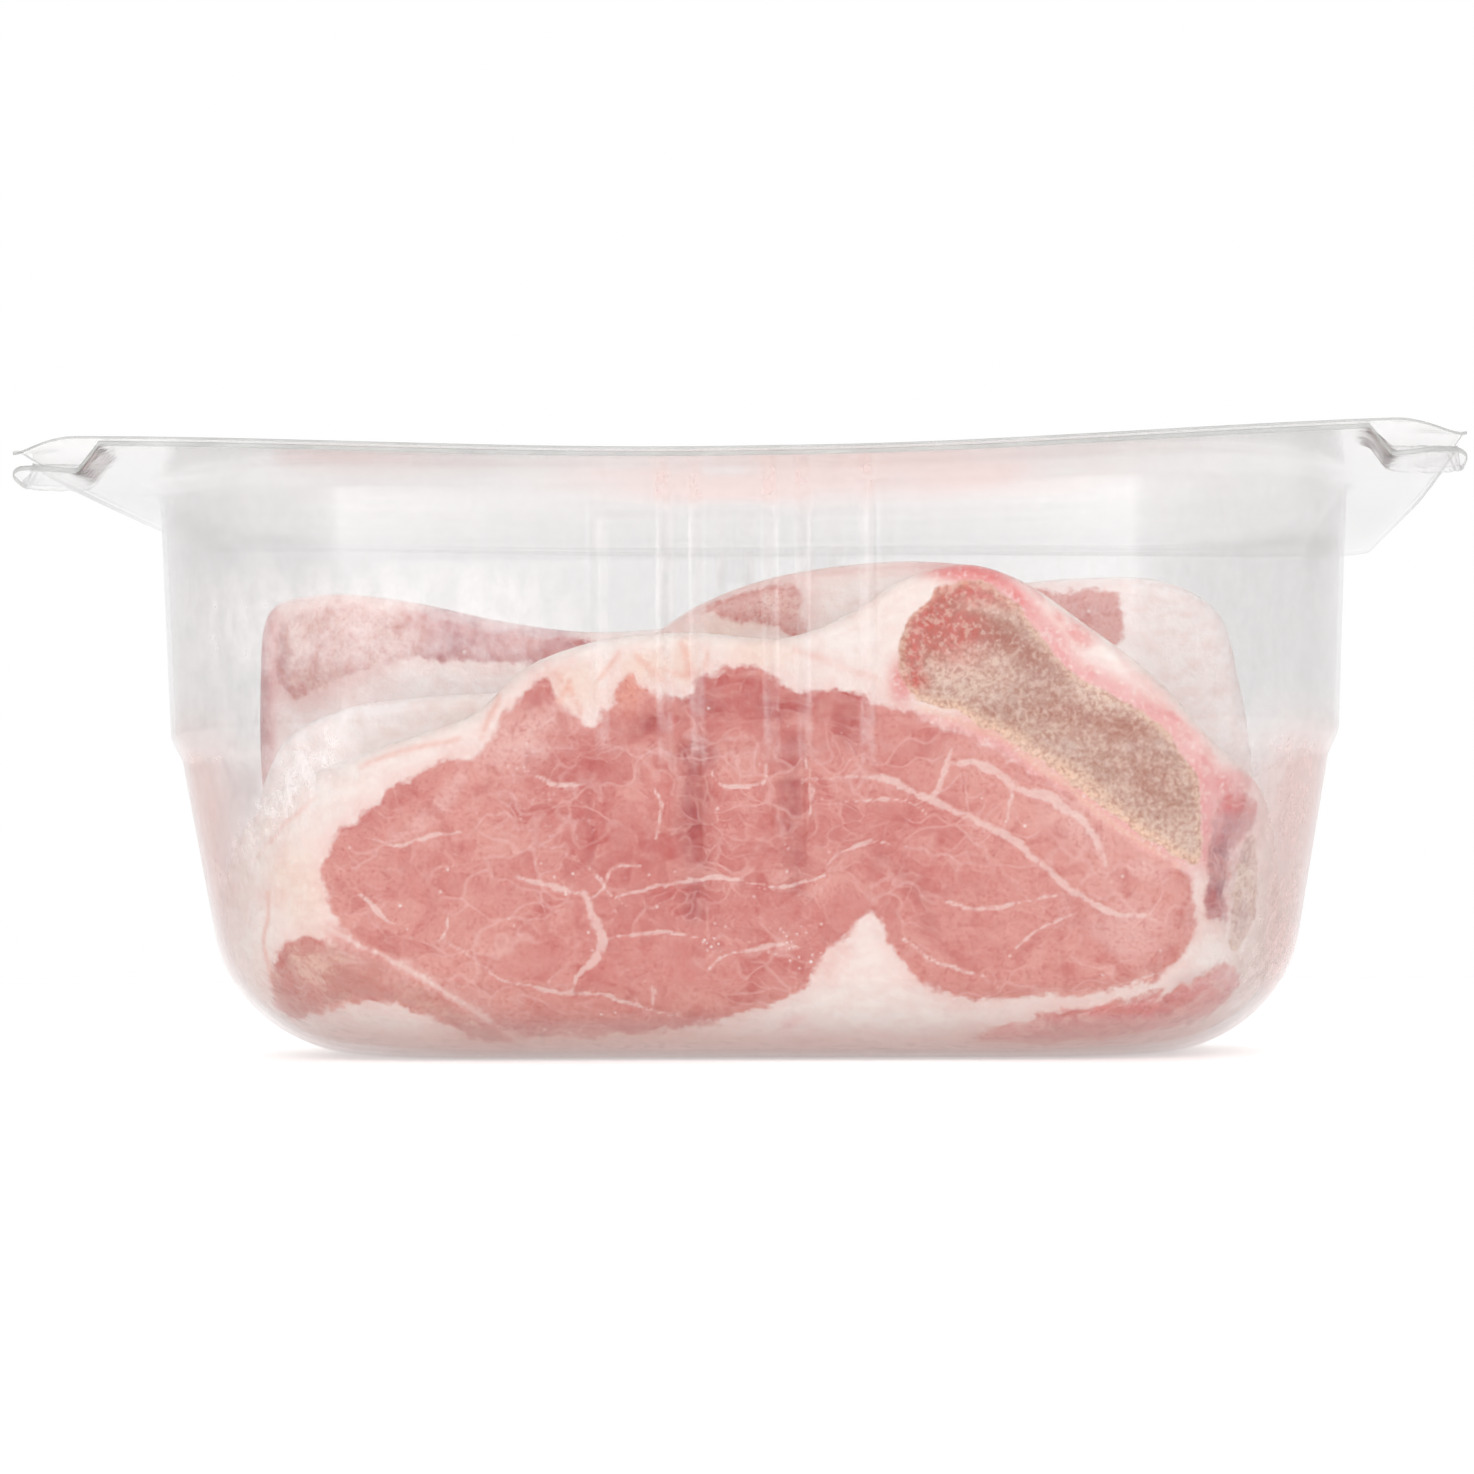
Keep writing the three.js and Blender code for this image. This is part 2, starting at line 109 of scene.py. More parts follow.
def smooth(a, b, x):
    t = np.clip((np.asarray(x, float) - a) / (b - a), 0, 1)
    return t * t * (3 - 2 * t)


def lerp(a, b, t):
    return a + (b - a) * t


def srgb(r, g, b):
    """A screen colour as linear light."""
    c = np.array([r, g, b]) / 255
    return np.where(c <= 0.04045, c / 12.92, ((c + 0.055) / 1.055) ** 2.4)


def lattice(i, j, k, seed):
    h = (i * 374761393 + j * 668265263 + k * 2147483647 + seed * 1274126177) & 0xFFFFFFFF
    h = ((h ^ (h >> 13)) * 1274126177) & 0xFFFFFFFF
    return ((h ^ (h >> 16)) & 0xFFFF) / 65535


def noise(x, y, z, size, seed, octaves=3):
    """Smooth seeded noise from -1 to 1, with features of about that size."""
    total = np.zeros(np.broadcast(x, y, z).shape)
    reach = 0
    for octave in range(octaves):
        grow = 2**octave
        parts = [np.asarray(c, float) * grow / size for c in (x, y, z)]
        cells = [np.floor(c).astype(np.int64) for c in parts]
        fx, fy, fz = [smooth(0, 1, c - n) for c, n in zip(parts, cells)]
        value = 0
        for a in (0, 1):
            for b in (0, 1):
                for c in (0, 1):
                    share = (fx if a else 1 - fx) * (fy if b else 1 - fy) * (fz if c else 1 - fz)
                    value = value + share * lattice(cells[0] + a, cells[1] + b, cells[2] + c, seed + octave)
        total = total + (2 * value - 1) / grow
        reach += 1 / grow
    return total / reach


def curve(points, step=0.5, closed=True):
    """A smooth line through a few points: centripetal Catmull-Rom, as the part's own outlines are."""
    p = np.array(points, float)
    before, after = (p[-1:], p[:2]) if closed else (2 * p[:1] - p[1:2], 2 * p[-1:] - p[-2:-1])
    p = np.vstack([before, p, after])
    out = []
    for a, b, c, d in zip(p, p[1:], p[2:], p[3:]):
        t0, t1, t2 = [max(np.hypot(*(v - u)) ** 0.5, 1e-4) for u, v in ((a, b), (b, c), (c, d))]
        m1 = ((b - a) / t0 - (c - a) / (t0 + t1) + (c - b) / t1) * t1
        m2 = ((c - b) / t1 - (d - b) / (t1 + t2) + (d - c) / t2) * t1
        t = np.linspace(0, 1, max(int(np.hypot(*(c - b)) / step), 2), endpoint=False)[:, None]
        out.append(b + m1 * t + (3 * (c - b) - 2 * m1 - m2) * t**2 + (m1 + m2 - 2 * (c - b)) * t**3)
    return np.vstack(out + ([] if closed else [p[-2:-1]]))


def line_distance(x, z, line, closed=False):
    """The distance of each point to a line, and how far along it the nearest place is, from 0 to 1."""
    ends = np.roll(line, -1, 0) if closed else line[1:]
    starts = line if closed else line[:-1]
    best = np.full(x.shape, 1e9)
    along = np.zeros(x.shape)
    for n, ((ax, az), (bx, bz)) in enumerate(zip(starts, ends)):
        dx, dz = bx - ax, bz - az
        t = np.clip(((x - ax) * dx + (z - az) * dz) / max(dx * dx + dz * dz, 1e-9), 0, 1)
        d = np.hypot(x - ax - t * dx, z - az - t * dz)
        near = d < best
        best = np.where(near, d, best)
        along = np.where(near, (n + t) / len(starts), along)
    return best, along


def depth_inside(x, z, outline):
    """Distance to the outline, positive inside it."""
    distance, _ = line_distance(x, z, outline, closed=True)
    inside = np.zeros(x.shape, bool)
    for (ax, az), (bx, bz) in zip(outline, np.roll(outline, -1, 0)):
        if az == bz:
            continue
        crosses = (az > z) != (bz > z)
        inside ^= crosses & (x < (bx - ax) * (z - az) / (bz - az) + ax)
    return np.where(inside, distance, -distance)


def make_mesh(name, verts, faces, slots=None, sharp=None):
    mesh = bpy.data.meshes.new(name)
    faces = np.asarray(faces)
    mesh.vertices.add(len(verts))
    mesh.vertices.foreach_set("co", (np.asarray(verts) * MM).ravel())
    mesh.loops.add(faces.size)
    mesh.loops.foreach_set("vertex_index", faces.ravel())
    mesh.polygons.add(len(faces))
    mesh.polygons.foreach_set("loop_start", np.arange(0, faces.size, faces.shape[1]))
    mesh.polygons.foreach_set("use_smooth", np.ones(len(faces), bool))
    if slots is not None:
        mesh.polygons.foreach_set("material_index", slots)
    mesh.update(calc_edges=True)
    if sharp is not None:
        ends = np.zeros(len(mesh.edges) * 2, int)
        mesh.edges.foreach_get("vertices", ends)
        ends = np.sort(ends.reshape(-1, 2), 1)
        keys = ends[:, 0] * len(verts) + ends[:, 1]
        wanted = np.sort(np.asarray(sharp), 1)
        mesh.edges.foreach_set("use_edge_sharp", np.isin(keys, wanted[:, 0] * len(verts) + wanted[:, 1]))
    obj = bpy.data.objects.new(name, mesh)
    bpy.context.scene.collection.objects.link(obj)
    return obj


def set_numbers(obj, name, values):
    layer = obj.data.attributes.new(name, "FLOAT", "POINT")
    layer.data.foreach_set("value", np.asarray(values, float).ravel())


def set_colours(obj, name, values):
    layer = obj.data.attributes.new(name, "FLOAT_COLOR", "POINT")
    layer.data.foreach_set("color", np.column_stack([values, np.ones(len(values))]).ravel())


# The tray and its lid

def spaced(points, step):
    """The same broken line with more points: heights at most that step apart."""
    out = [points[0]]
    for a, b in zip(points, points[1:]):
        n = max(int(math.ceil(math.hypot(b[0] - a[0], b[1] - a[1]) / step)), 1)
        out += [tuple(lerp(np.array(a), np.array(b), k / n)) for k in range(1, n + 1)]
    return out


def tray_profile():
    foot_top = FOOT_R * (1 - math.sin(LOWER_DRAFT))
    lower_in = UPPER_DRAFT + STEP_IN + (STEP_LOW - foot_top) * math.tan(LOWER_DRAFT)
    centre = lower_in + FOOT_R * math.cos(LOWER_DRAFT)
    turns = np.linspace(0, math.pi / 2 - LOWER_DRAFT, 19)
    foot = [(-centre + FOOT_R * math.sin(a), FOOT_R * (1 - math.cos(a))) for a in turns]
    shares = np.linspace(0, 1, 13)
    bends = -UPPER_DRAFT - STEP_IN * (1 - smooth(0, 1, shares))
    step = list(zip(bends, lerp(STEP_LOW, STEP_TOP, shares)))
    turns = np.linspace(0, math.pi / 2, 7)
    root = list(zip(ROOT_R * (1 - np.cos(turns)), FLANGE_Z - ROOT_R * (1 - np.sin(turns))))
    return spaced(foot + step + root, 2)


def inner_profile(outer):
    out = []
    for i, (o, z) in enumerate(outer):
        o0, z0 = outer[i - 1] if i else (o - 1, z)
        o1, z1 = outer[i + 1] if i < len(outer) - 1 else (o + 1, z)
        length = math.hypot(o1 - o0, z1 - z0)
        out.append((o - WALL * (z1 - z0) / length, z + WALL * (o1 - o0) / length))
    return out


OUTER = tray_profile()
INNER = inner_profile(OUTER)


def ring(half_x, half_y, radius):
    """A rounded rectangle's points, anticlockwise from the middle of the front side."""
    straight_x, straight_y = half_x - radius, half_y - radius
    middle = PANEL_HALF + RIB_FLARE
    beyond = lerp(straight_x, middle, np.linspace(1, 0, 34)[:-1] ** 1.4)
    front = np.concatenate([np.arange(0.3, middle, 0.6), beyond])
    angles = np.radians(np.linspace(-90, 0, 28))
    side = np.linspace(-straight_y, 0, 21)[1:]
    xs = [front, straight_x + radius * np.cos(angles), np.full(len(side), half_x)]
    ys = [np.full(len(front), -half_y), radius * np.sin(angles) - straight_y, side]
    quarter = np.column_stack([np.concatenate(xs), np.concatenate(ys)])
    half = np.vstack([quarter, quarter[-2::-1] * (1, -1)])
    return np.vstack([half, -half])


def wall_ring(o, base):
    return ring(MOUTH_X / 2 + o, MOUTH_Y / 2 + o, CORNER_R + CORNER_SHRINK * base + o - base)


def pressed_in(x, z):
    """How far a rib or its panel is pressed in at this place along a long wall."""
    above = smooth(RIB_FOOT - RIB_FOOT_FADE, RIB_FOOT + RIB_FOOT_FADE, z)
    run = above * (1 - smooth(RIB_HEAD, RIB_HEAD + RIB_FADE, z))
    panel = 1 - smooth(PANEL_HALF, PANEL_HALF + RIB_FLARE, np.abs(x))
    rib = 1 - smooth(RIB_HALF, RIB_HALF + RIB_FLARE, np.abs(np.abs(x) - RIB_AT))
    return run * (PANEL_DEPTH * panel + RIB_DEPTH * rib)


def lift(x, y):
    """The rise of the flange and lid above the flat."""
    u = np.abs(x) / (FLANGE_X / 2)
    v = np.abs(y) / (FLANGE_Y / 2)
    rise = 0
    for end, here in ((LEFT_END, x < 0), (RIGHT_END, x >= 0)):
        corner = np.where(y < 0, end["front"], end["back"]) * smooth(end["start"], 1, u)
        rise = rise + here * lerp(end["side"] * u**SIDE_POWER, corner, v ** end["fade"])
    return rise


def peel(x, y):
    """How far the flange is pressed down at a peel corner."""
    p = np.maximum((FLANGE_X / 2 - np.abs(x)) / PEEL_X, 0)
    q = np.maximum((FLANGE_Y / 2 + y) / PEEL_Y, 0)
    reach = (p**PEEL_POWER + q**PEEL_POWER) ** (1 / PEEL_POWER)
    depth = PEEL_DEPTH + PEEL_SLOPE * np.clip(reach, 0, 1)
    return depth * (1 - smooth(1 - PEEL_WALL, 1 + PEEL_WALL, reach))


def droop(x, y):
    """How far the lid's own front corners hang down towards the pressed flange."""
    p = smooth(0, DROOP_REACH, DROOP_REACH - FLANGE_X / 2 + np.abs(x))
    q = smooth(0, DROOP_REACH, DROOP_REACH - FLANGE_Y / 2 - y)
    return DROOP * p * q


def ring_faces(rings, n):
    j = np.arange(n)
    k = (j + 1) % n
    quad = np.column_stack([j, k, n + k, n + j])
    return np.vstack([quad + i * n for i in range(rings - 1)])


def cap_faces(start, n):
    """Quads across the small ring of n points that starts at this number."""
    i = start + np.arange(n // 2 - 1)
    last = 2 * start + n - 1
    return np.column_stack([i, i + 1, last - i - 1, last - i])


def closed_rings(name, rings, rim_from, rim_to):
    """A closed solid from equal rings, shut at both ends. The rim has material slot 1."""
    n = len(rings[0])
    first, last = rings[0].mean(0), rings[-1].mean(0)
    opening = [lerp(first, rings[0], s) for s in (0.02, 0.5)]
    closing = [lerp(last, rings[-1], s) for s in (0.5, 0.02)]
    every = opening + rings + closing
    faces = ring_faces(len(every), n)
    row = np.arange(len(faces)) // n - len(opening)
    slots = ((row >= rim_from) & (row < rim_to)).astype(int)
    caps = np.vstack([cap_faces(0, n)[:, ::-1], cap_faces((len(every) - 1) * n, n)])
    slots = np.concatenate([slots, np.zeros(len(caps), int)])
    return make_mesh(name, np.vstack(every), np.vstack([faces, caps]), slots)


def wall_rings(profile):
    rings = []
    for (o, z), (base, _) in zip(profile, OUTER):
        xy = wall_ring(o, base)
        long_wall = (np.abs(xy[:, 0]) < PANEL_HALF + RIB_FLARE + 1) * np.sign(xy[:, 1])
        y = xy[:, 1] - long_wall * pressed_in(xy[:, 0], z)
        height = z + lift(xy[:, 0], y) * smooth(LIFT_FROM, FLANGE_Z, z)
        rings.append(np.column_stack([xy[:, 0], y, height]))
    return rings


FLANGE_ROWS = 22


def flange_rings(rise):
    """The flange's rows, from the wall to the rim."""
    base = OUTER[-1][0]
    start, end = wall_ring(base, base), ring(FLANGE_X / 2, FLANGE_Y / 2, FLANGE_R)
    rings = []
    for t in np.linspace(0, 1, FLANGE_ROWS + 1)[1:]:
        xy = lerp(start, end, t)
        z = FLANGE_Z + rise + lift(xy[:, 0], xy[:, 1]) - peel(xy[:, 0], xy[:, 1])
        rings.append(np.column_stack([xy, z]))
    return rings


def make_tray():
    below, above = flange_rings(0), flange_rings(WALL)
    rim = [lerp(below[-1], above[-1], share) for share in (0.25, 0.75)]
    for rings in (below, above):
        rings[-1] = lerp(rings[-1], rings[-2], 0.08)
    outside = wall_rings(OUTER) + below
    inside = wall_rings(INNER) + above
    tray = closed_rings("tray_shell", outside + rim + inside[::-1], len(outside) - 1, len(outside) + 2)
    co = np.zeros(len(tray.data.vertices) * 3)
    tray.data.vertices.foreach_get("co", co)
    x, y, z = (co.reshape(-1, 3) / MM).T
    set_numbers(tray, "haze", tray_haze(x, y, z))
    set_numbers(tray, "juice", tray_juice(x, y, z))
    return tray


def tray_haze(x, y, z):
    """Where the plastic is misted or rubbed, from 0 to 1."""
    front = y < 0
    upper = smooth(53, 60, z) * (1 - smooth(93, 96, z)) * (0.05 + 0.07 * smooth(60, 90, np.abs(x)))
    right_end = 0.5 * (1 - smooth(52, 62, z)) + 0.4 * (1 - smooth(14, 34, z))
    right_end = right_end * smooth(70, 90, x) * smooth(2, 14, z)
    smear = np.exp(-(((x + 72 - (z - 47) * 0.8) / 6) ** 2) - ((z - 46) / 12) ** 2) * front
    frost = smooth(-100, -86, x) * smooth(-20, -36, x) * front * 0.5
    frost = frost * smooth(62, 68, z) * (1 - smooth(76, 84, z))
    seam = np.exp(-(((z - STEP_LOW - 1.5) / 1.2) ** 2)) * (0.08 + 0.2 * smooth(60, 90, np.abs(x)))
    ribs = (np.abs(np.abs(np.abs(x) - RIB_AT) - RIB_HALF - RIB_FLARE / 2) < 1.2) * smooth(46, 54, z) * 0.3
    edge = (np.abs(np.abs(x) - PANEL_HALF) < 1.2) * smooth(46, 54, z) * 0.25
    left_mist = smooth(-66, -90, x) * smooth(16, 36, z) * (1 - smooth(56, 70, z)) * 0.35
    return np.clip(upper + right_end + smear + frost + seam + ribs + edge + left_mist, 0, 1)


def tray_juice(x, y, z):
    """Where meat or its juice wets the plastic, from 0 to 1: foot, ends and a smear under the flange."""
    foot = 1 - smooth(1, 9, z)
    ends = smooth(78, 94, np.abs(x)) * (1 - smooth(44, 64, z)) * 0.8
    smear = 1.6 * spot(x, z, 15, 94.5, 42, 3.6) * (y < 0) * (0.6 + 0.7 * noise(x * 0.3, 1, z * 2, 4, 66))
    return np.clip(foot + ends + smear, 0, 1)


def lid_place(x, y, rise):
    sag_x = np.clip(1 - (x / (MOUTH_X / 2)) ** 2, 0, 1)
    sag_y = np.clip(1 - (y / (MOUTH_Y / 2)) ** 2, 0, 1)
    ripple = 0.12 * noise(x, y * 3, 0, 26, 71, 2) * sag_x**0.3 * sag_y**0.3
    height = FLANGE_Z + WALL + GAP + rise + lift(x, y) - LID_SAG * sag_x * sag_y - droop(x, y)
    return np.column_stack([x, y, height + ripple])


def make_lid():
    base = OUTER[-1][0]
    start, end = wall_ring(base, base), ring(FLANGE_X / 2, FLANGE_Y / 2, FLANGE_R)

    def sheet(rise):
        inner = [lid_place(*(s * start).T, rise) for s in np.linspace(0.06, 1, 30)]
        outer = [lid_place(*lerp(start, end, t).T, rise) for t in np.linspace(0, 1, FLANGE_ROWS)[1:]]
        return inner + outer

    below, above = sheet(0), sheet(FILM)
    return closed_rings("lid_sheet", below + above[::-1], len(below) - 1, len(below))


# The chops

def front_wall_y(x, z):
    """The inside of the front wall at this place."""
    heights = np.array([p[1] for p in INNER])
    outs = np.array([p[0] for p in INNER])
    o = np.interp(z, heights, outs)
    radius = CORNER_R + CORNER_SHRINK * o - WALL
    along = np.clip(np.abs(x) - (MOUTH_X / 2 + o - radius), 0, radius * 0.99)
    return -(MOUTH_Y / 2 + o - radius) - np.sqrt(radius**2 - along**2)


def stack_y(share, x, z):
    """The face between two chops: the first follows the front wall, the last the back wall."""
    wall = front_wall_y(x, z) + CLEAR
    face = FACE_Y - FACE_LEAN * (z - FACE_Z)
    return lerp(np.maximum(face, wall), np.minimum(face + STACK, -wall), share)


WALL_SHARES = (0.16, 0.5, 0.84)


def chop_lattice(body, step):
    """Places over a chop's face, in columns from its lower to its upper edge."""
    line = curve(body, 0.4)
    left, right = line[:, 0].argmin(), line[:, 0].argmax()
    span = np.roll(line, -left, 0)
    turn = (right - left) % len(line)
    upper, lower = span[: turn + 1], np.vstack([span[turn:], span[:1]])[::-1]
    half = (line[right, 0] - line[left, 0]) / 2
    middle = (line[right, 0] + line[left, 0]) / 2
    u = np.linspace(-1, 1, int(2 * half / step * 1.25) | 1)
    x = middle + half * (0.4 * u + 0.6 * np.sin(u * math.pi / 2))
    low = np.interp(x, lower[:, 0], lower[:, 1])
    high = np.interp(x, upper[:, 0], upper[:, 1])
    rows = int((high - low).max() / step) + 1
    s = np.linspace(0, 1, rows)
    return np.repeat(x[:, None], rows, 1), lerp(low[:, None], high[:, None], s)


def chop_faces(place, body, x, z, relief):
    """The front and back of a chop, with rounded edges and the flesh's relief."""
    edge = np.maximum(depth_inside(x.ravel(), z.ravel(), curve(body, 0.4)).reshape(x.shape), 0)
    edge[0], edge[-1], edge[:, 0], edge[:, -1] = 0, 0, 0, 0
    rounding = 0.9 * (EDGE - np.sqrt(np.maximum(EDGE**2 - np.maximum(EDGE - edge, 0) ** 2, 0)))
    relief = relief * smooth(0, 3, edge)
    front = stack_y(place / CHOPS, x, z) + CHOP_GAP / 2
    back = stack_y((place + 1) / CHOPS, x, z) - CHOP_GAP / 2
    middle = (front + back) / 2
    rounded_front = np.minimum(front + rounding - relief, middle)
    rounded_back = np.maximum(back - rounding + 0.4 * relief, (rounded_front + back) / 2 + 0.05)
    return rounded_front, rounded_back


def cell_owners(x, z, shapes, pieces):
    """The number of the piece that each cell of the lattice belongs to."""
    centre_x = (x[:-1, :-1] + x[1:, 1:]) / 2
    centre_z = (z[:-1, :-1] + z[1:, 1:]) / 2
    owner = np.zeros(centre_x.shape, int)
    for number, (_, shape, _) in enumerate(pieces):
        if shape in shapes:
            inside = depth_inside(centre_x.ravel(), centre_z.ravel(), curve(shapes[shape], 1.5)) > 0
            owner[inside.reshape(owner.shape)] = number
    return owner


def piece_faces(owner, number, layers):
    """A piece's faces on a lattice of several layers, and the edges that it shares with other pieces."""
    wide, high = owner.shape
    size = (wide + 1) * (high + 1)
    flat = np.arange(size).reshape(wide + 1, high + 1)
    mine = owner == number
    a, b, c, d = flat[:-1, :-1][mine], flat[1:, :-1][mine], flat[1:, 1:][mine], flat[:-1, 1:][mine]
    padded = np.pad(owner, 1, constant_values=-1)
    sides, shared = [], []
    for di, dj, p, q in ((0, -1, a, b), (1, 0, b, c), (0, 1, c, d), (-1, 0, d, a)):
        other = padded[1 + di : 1 + di + wide, 1 + dj : 1 + dj + high][mine]
        pairs = np.column_stack([p, q])
        sides.append(pairs[other != number])
        shared.append(pairs[(other != number) & (other >= 0)])
    p, q = np.vstack(sides).T
    shared = np.vstack(shared)
    last = (layers - 1) * size
    faces = [np.column_stack([a, b, c, d]), np.column_stack([a, d, c, b]) + last]
    for k in range(0, last, size):
        faces.append(np.column_stack([q + k, p + k, p + k + size, q + k + size]))
    return np.vstack(faces), np.vstack([shared, shared + last])


def set_fields(obj, fields, layers, used):
    for field, values in fields.items():
        if values.ndim == 3:
            set_colours(obj, field, np.tile(values.reshape(-1, 3), (layers, 1))[used])
        else:
            set_numbers(obj, field, np.tile(values.ravel(), layers)[used])


def make_chop(place, shapes, look, pieces, step):
    """One chop as closed solids that share their borders. pieces has each one's name, outline and slot."""
    x, z = chop_lattice(shapes["body"], step)
    fields = look(x, z, shapes)
    front, back = chop_faces(place, shapes["body"], x, z, fields.pop("relief"))
    layers = [front] + [lerp(front, back, s) for s in WALL_SHARES] + [back]
    points = np.vstack([np.column_stack([x.ravel(), layer.ravel(), z.ravel()]) for layer in layers])
    owner = cell_owners(x, z, shapes, pieces)
    made = []
    for number, (name, _, slot_name) in enumerate(pieces):
        faces, shared = piece_faces(owner, number, len(layers))
        used, inverse = np.unique(faces, return_inverse=True)
        renumber = np.full(len(points), -1)
        renumber[used] = np.arange(len(used))
        obj = make_mesh(name, points[used], inverse.reshape(faces.shape), sharp=renumber[shared])
        set_fields(obj, fields, len(layers), used)
        made.append(obj)
    return made


FRONT_CHOP = {
    "body": [
        (-90, 18), (-89.8, 27), (-86.4, 35.5), (-78.5, 44), (-66, 50), (-52, 54.5), (-43, 58), (-35, 65),
        (-22, 69.5), (-8, 70.5), (8, 69.5), (18, 73), (27, 78.5), (37, 81), (46, 78.5), (57, 71), (68, 62.5),
        (77, 52.5), (85.5, 44.5), (88.5, 34), (89, 20), (85, 9.6), (76, 3.6), (54, 1.6), (20, 1.5),
        (-20, 1.5), (-54, 1.7), (-76, 3.8), (-85.5, 9.4),
    ],
    "eye": [
        (-68.5, 27), (-67.5, 36), (-61, 42), (-50, 49.3), (-42, 51), (-38, 57.5), (-31, 63), (-28.5, 58.5),
        (-24, 55), (-20.5, 59), (-17.5, 64), (-13.5, 60.5), (-9, 59.5), (-4.5, 63.5), (3, 64.5), (10, 60.5),
        (18, 60.5), (26, 57.5), (35, 54.5), (45, 49.5), (56, 42), (66, 34), (73.5, 29.5), (74, 22),
        (71, 15.5), (58, 11.5), (44, 10.5), (32, 11.5), (26.5, 17), (21.5, 25), (15.5, 19), (9, 11.5),
        (-4, 7), (-22, 4.6), (-37, 4.8), (-46, 10.6), (-55, 16.6), (-65, 21.6),
    ],
    "flank": [
        (-80.5, 11), (-79, 17), (-74, 20.8), (-66, 19.8), (-55.6, 14.8), (-46.6, 8.8), (-39.5, 3.4),
        (-44, 3.2), (-51, 7.4), (-59, 9.8), (-67, 9.6), (-73.5, 8), (-78, 6.8),
    ],
    "belly": [
        (38, 3), (46, 6.4), (55, 8.7), (64, 9.8), (73, 12.4), (81, 15.4), (82.6, 12.6), (78, 8.2), (69, 4.8),
        (56, 3), (46, 2.6),
    ],
    "bone": [
        (26.8, 64), (27.5, 70.5), (32, 76), (38.5, 78.3), (44, 75.8), (49.5, 69.5), (55, 62.8), (63, 58.5),
        (70, 53.5), (74.5, 46), (75.3, 38), (74.3, 32.2), (68, 35.3), (58, 42.8), (48, 50.3), (37, 56.3),
        (29.5, 59.5),
    ],
    "collar": [
        (76.6, 23), (76.3, 31), (77.3, 39), (80, 43.8), (84.3, 42.5), (84.6, 38.6), (81.4, 36), (79.6, 30),
        (79, 23),
    ],
    "spur": [
        (80.6, 18), (80.8, 26), (82.2, 34.4), (84.4, 36.6), (85, 30), (83.8, 21.5),
    ],
}

SECOND_CHOP = {
    "body": [
        (-84, 17), (-87, 31), (-86, 45), (-80, 55), (-70, 60), (-56, 62), (-40, 63), (-28, 66), (-18.6, 70.7),
        (-8.3, 77), (3, 81.2), (16, 83.4), (30, 84), (42, 82), (55, 72), (68, 60), (80, 50), (86, 37),
        (84, 18), (75, 6), (56, 1.9), (20, 1.5), (-20, 1.5), (-56, 2.2), (-75, 6.5),
    ],
    "eye": [
        (-22, 59), (-8, 63), (6, 64), (18, 61), (32, 54), (58, 42), (74, 28), (68, 12), (40, 8), (0, 7),
        (-40, 8), (-68, 16), (-71, 32), (-60, 44), (-40, 53),
    ],
    "cap": [
        (-7.8, 75.6), (-2, 78), (4, 79.4), (9.4, 79.8), (9.8, 75.5), (9.4, 71.4), (6, 73), (2, 74.3),
        (-3, 75),
    ],
    "bone": [
        (26, 66), (28, 76), (36, 79), (46, 74), (58, 62), (70, 50), (77, 38), (73, 35), (58, 46), (40, 57),
    ],
}

THIRD_CHOP = {
    "body": [
        (-86, 14), (-89.5, 30), (-90.6, 46), (-90.4, 64), (-88, 79.5), (-78, 82), (-62, 80.5), (-46, 77),
        (-30, 74.8), (-8, 76), (16, 79), (38, 81.5), (58, 83.2), (72, 82.4), (81.5, 77), (85, 66), (87.6, 50),
        (88.6, 34), (85, 15), (75, 4.6), (48, 1.7), (10, 1.5), (-30, 1.5), (-62, 2.4), (-78, 5.4),
    ],
    "eye": [
        (-76, 20), (-82, 34), (-80, 46), (-66, 53), (-48, 57), (-26, 62), (-4, 64), (18, 60), (38, 50),
        (60, 38), (70, 24), (60, 11), (30, 8), (-10, 8), (-50, 10),
    ],
    "cap": [
        (-84, 64), (-86, 71), (-85, 77), (-77, 79.4), (-62, 78.2), (-46, 74.8), (-30, 72.6), (-26.5, 71),
        (-34, 69.2), (-48, 69.4), (-60, 70.4), (-72, 68),
    ],
    "bone": [
        (20, 60), (24, 70), (34, 74), (46, 68.5), (58, 58.5), (70, 46), (76, 36), (72, 33), (60, 42),
        (44, 52), (30, 57),
    ],
    "tail": [
        (44, 79.6), (56, 80.8), (63.5, 80.4), (65, 75), (61, 69.5), (54, 72.5), (48, 76.4),
    ],
}

BACK_CHOP = {
    "body": [
        (-82, 17), (-84.5, 30), (-80, 44), (-68, 54), (-50, 61), (-30, 66), (-8, 68.5), (14, 70), (28, 73.5),
        (40, 74.5), (54, 69), (68, 58), (79, 46), (84, 33), (82, 17), (73, 5.6), (50, 1.7), (10, 1.5),
        (-30, 1.5), (-64, 3.4),
    ],
    "eye": [
        (-67, 22), (-68, 34), (-58, 46), (-40, 54), (-20, 60), (2, 63), (18, 60), (34, 52), (52, 42),
        (68, 31), (72, 20), (60, 10), (36, 9), (27, 15), (20, 23), (12, 15), (0, 7.5), (-30, 6.5), (-56, 12),
    ],
    "bone": [
        (25, 63), (28, 69.5), (37, 71.5), (48, 67), (62, 56), (72, 44), (76, 34), (72, 31.5), (58, 42),
        (40, 54.5),
    ],
}

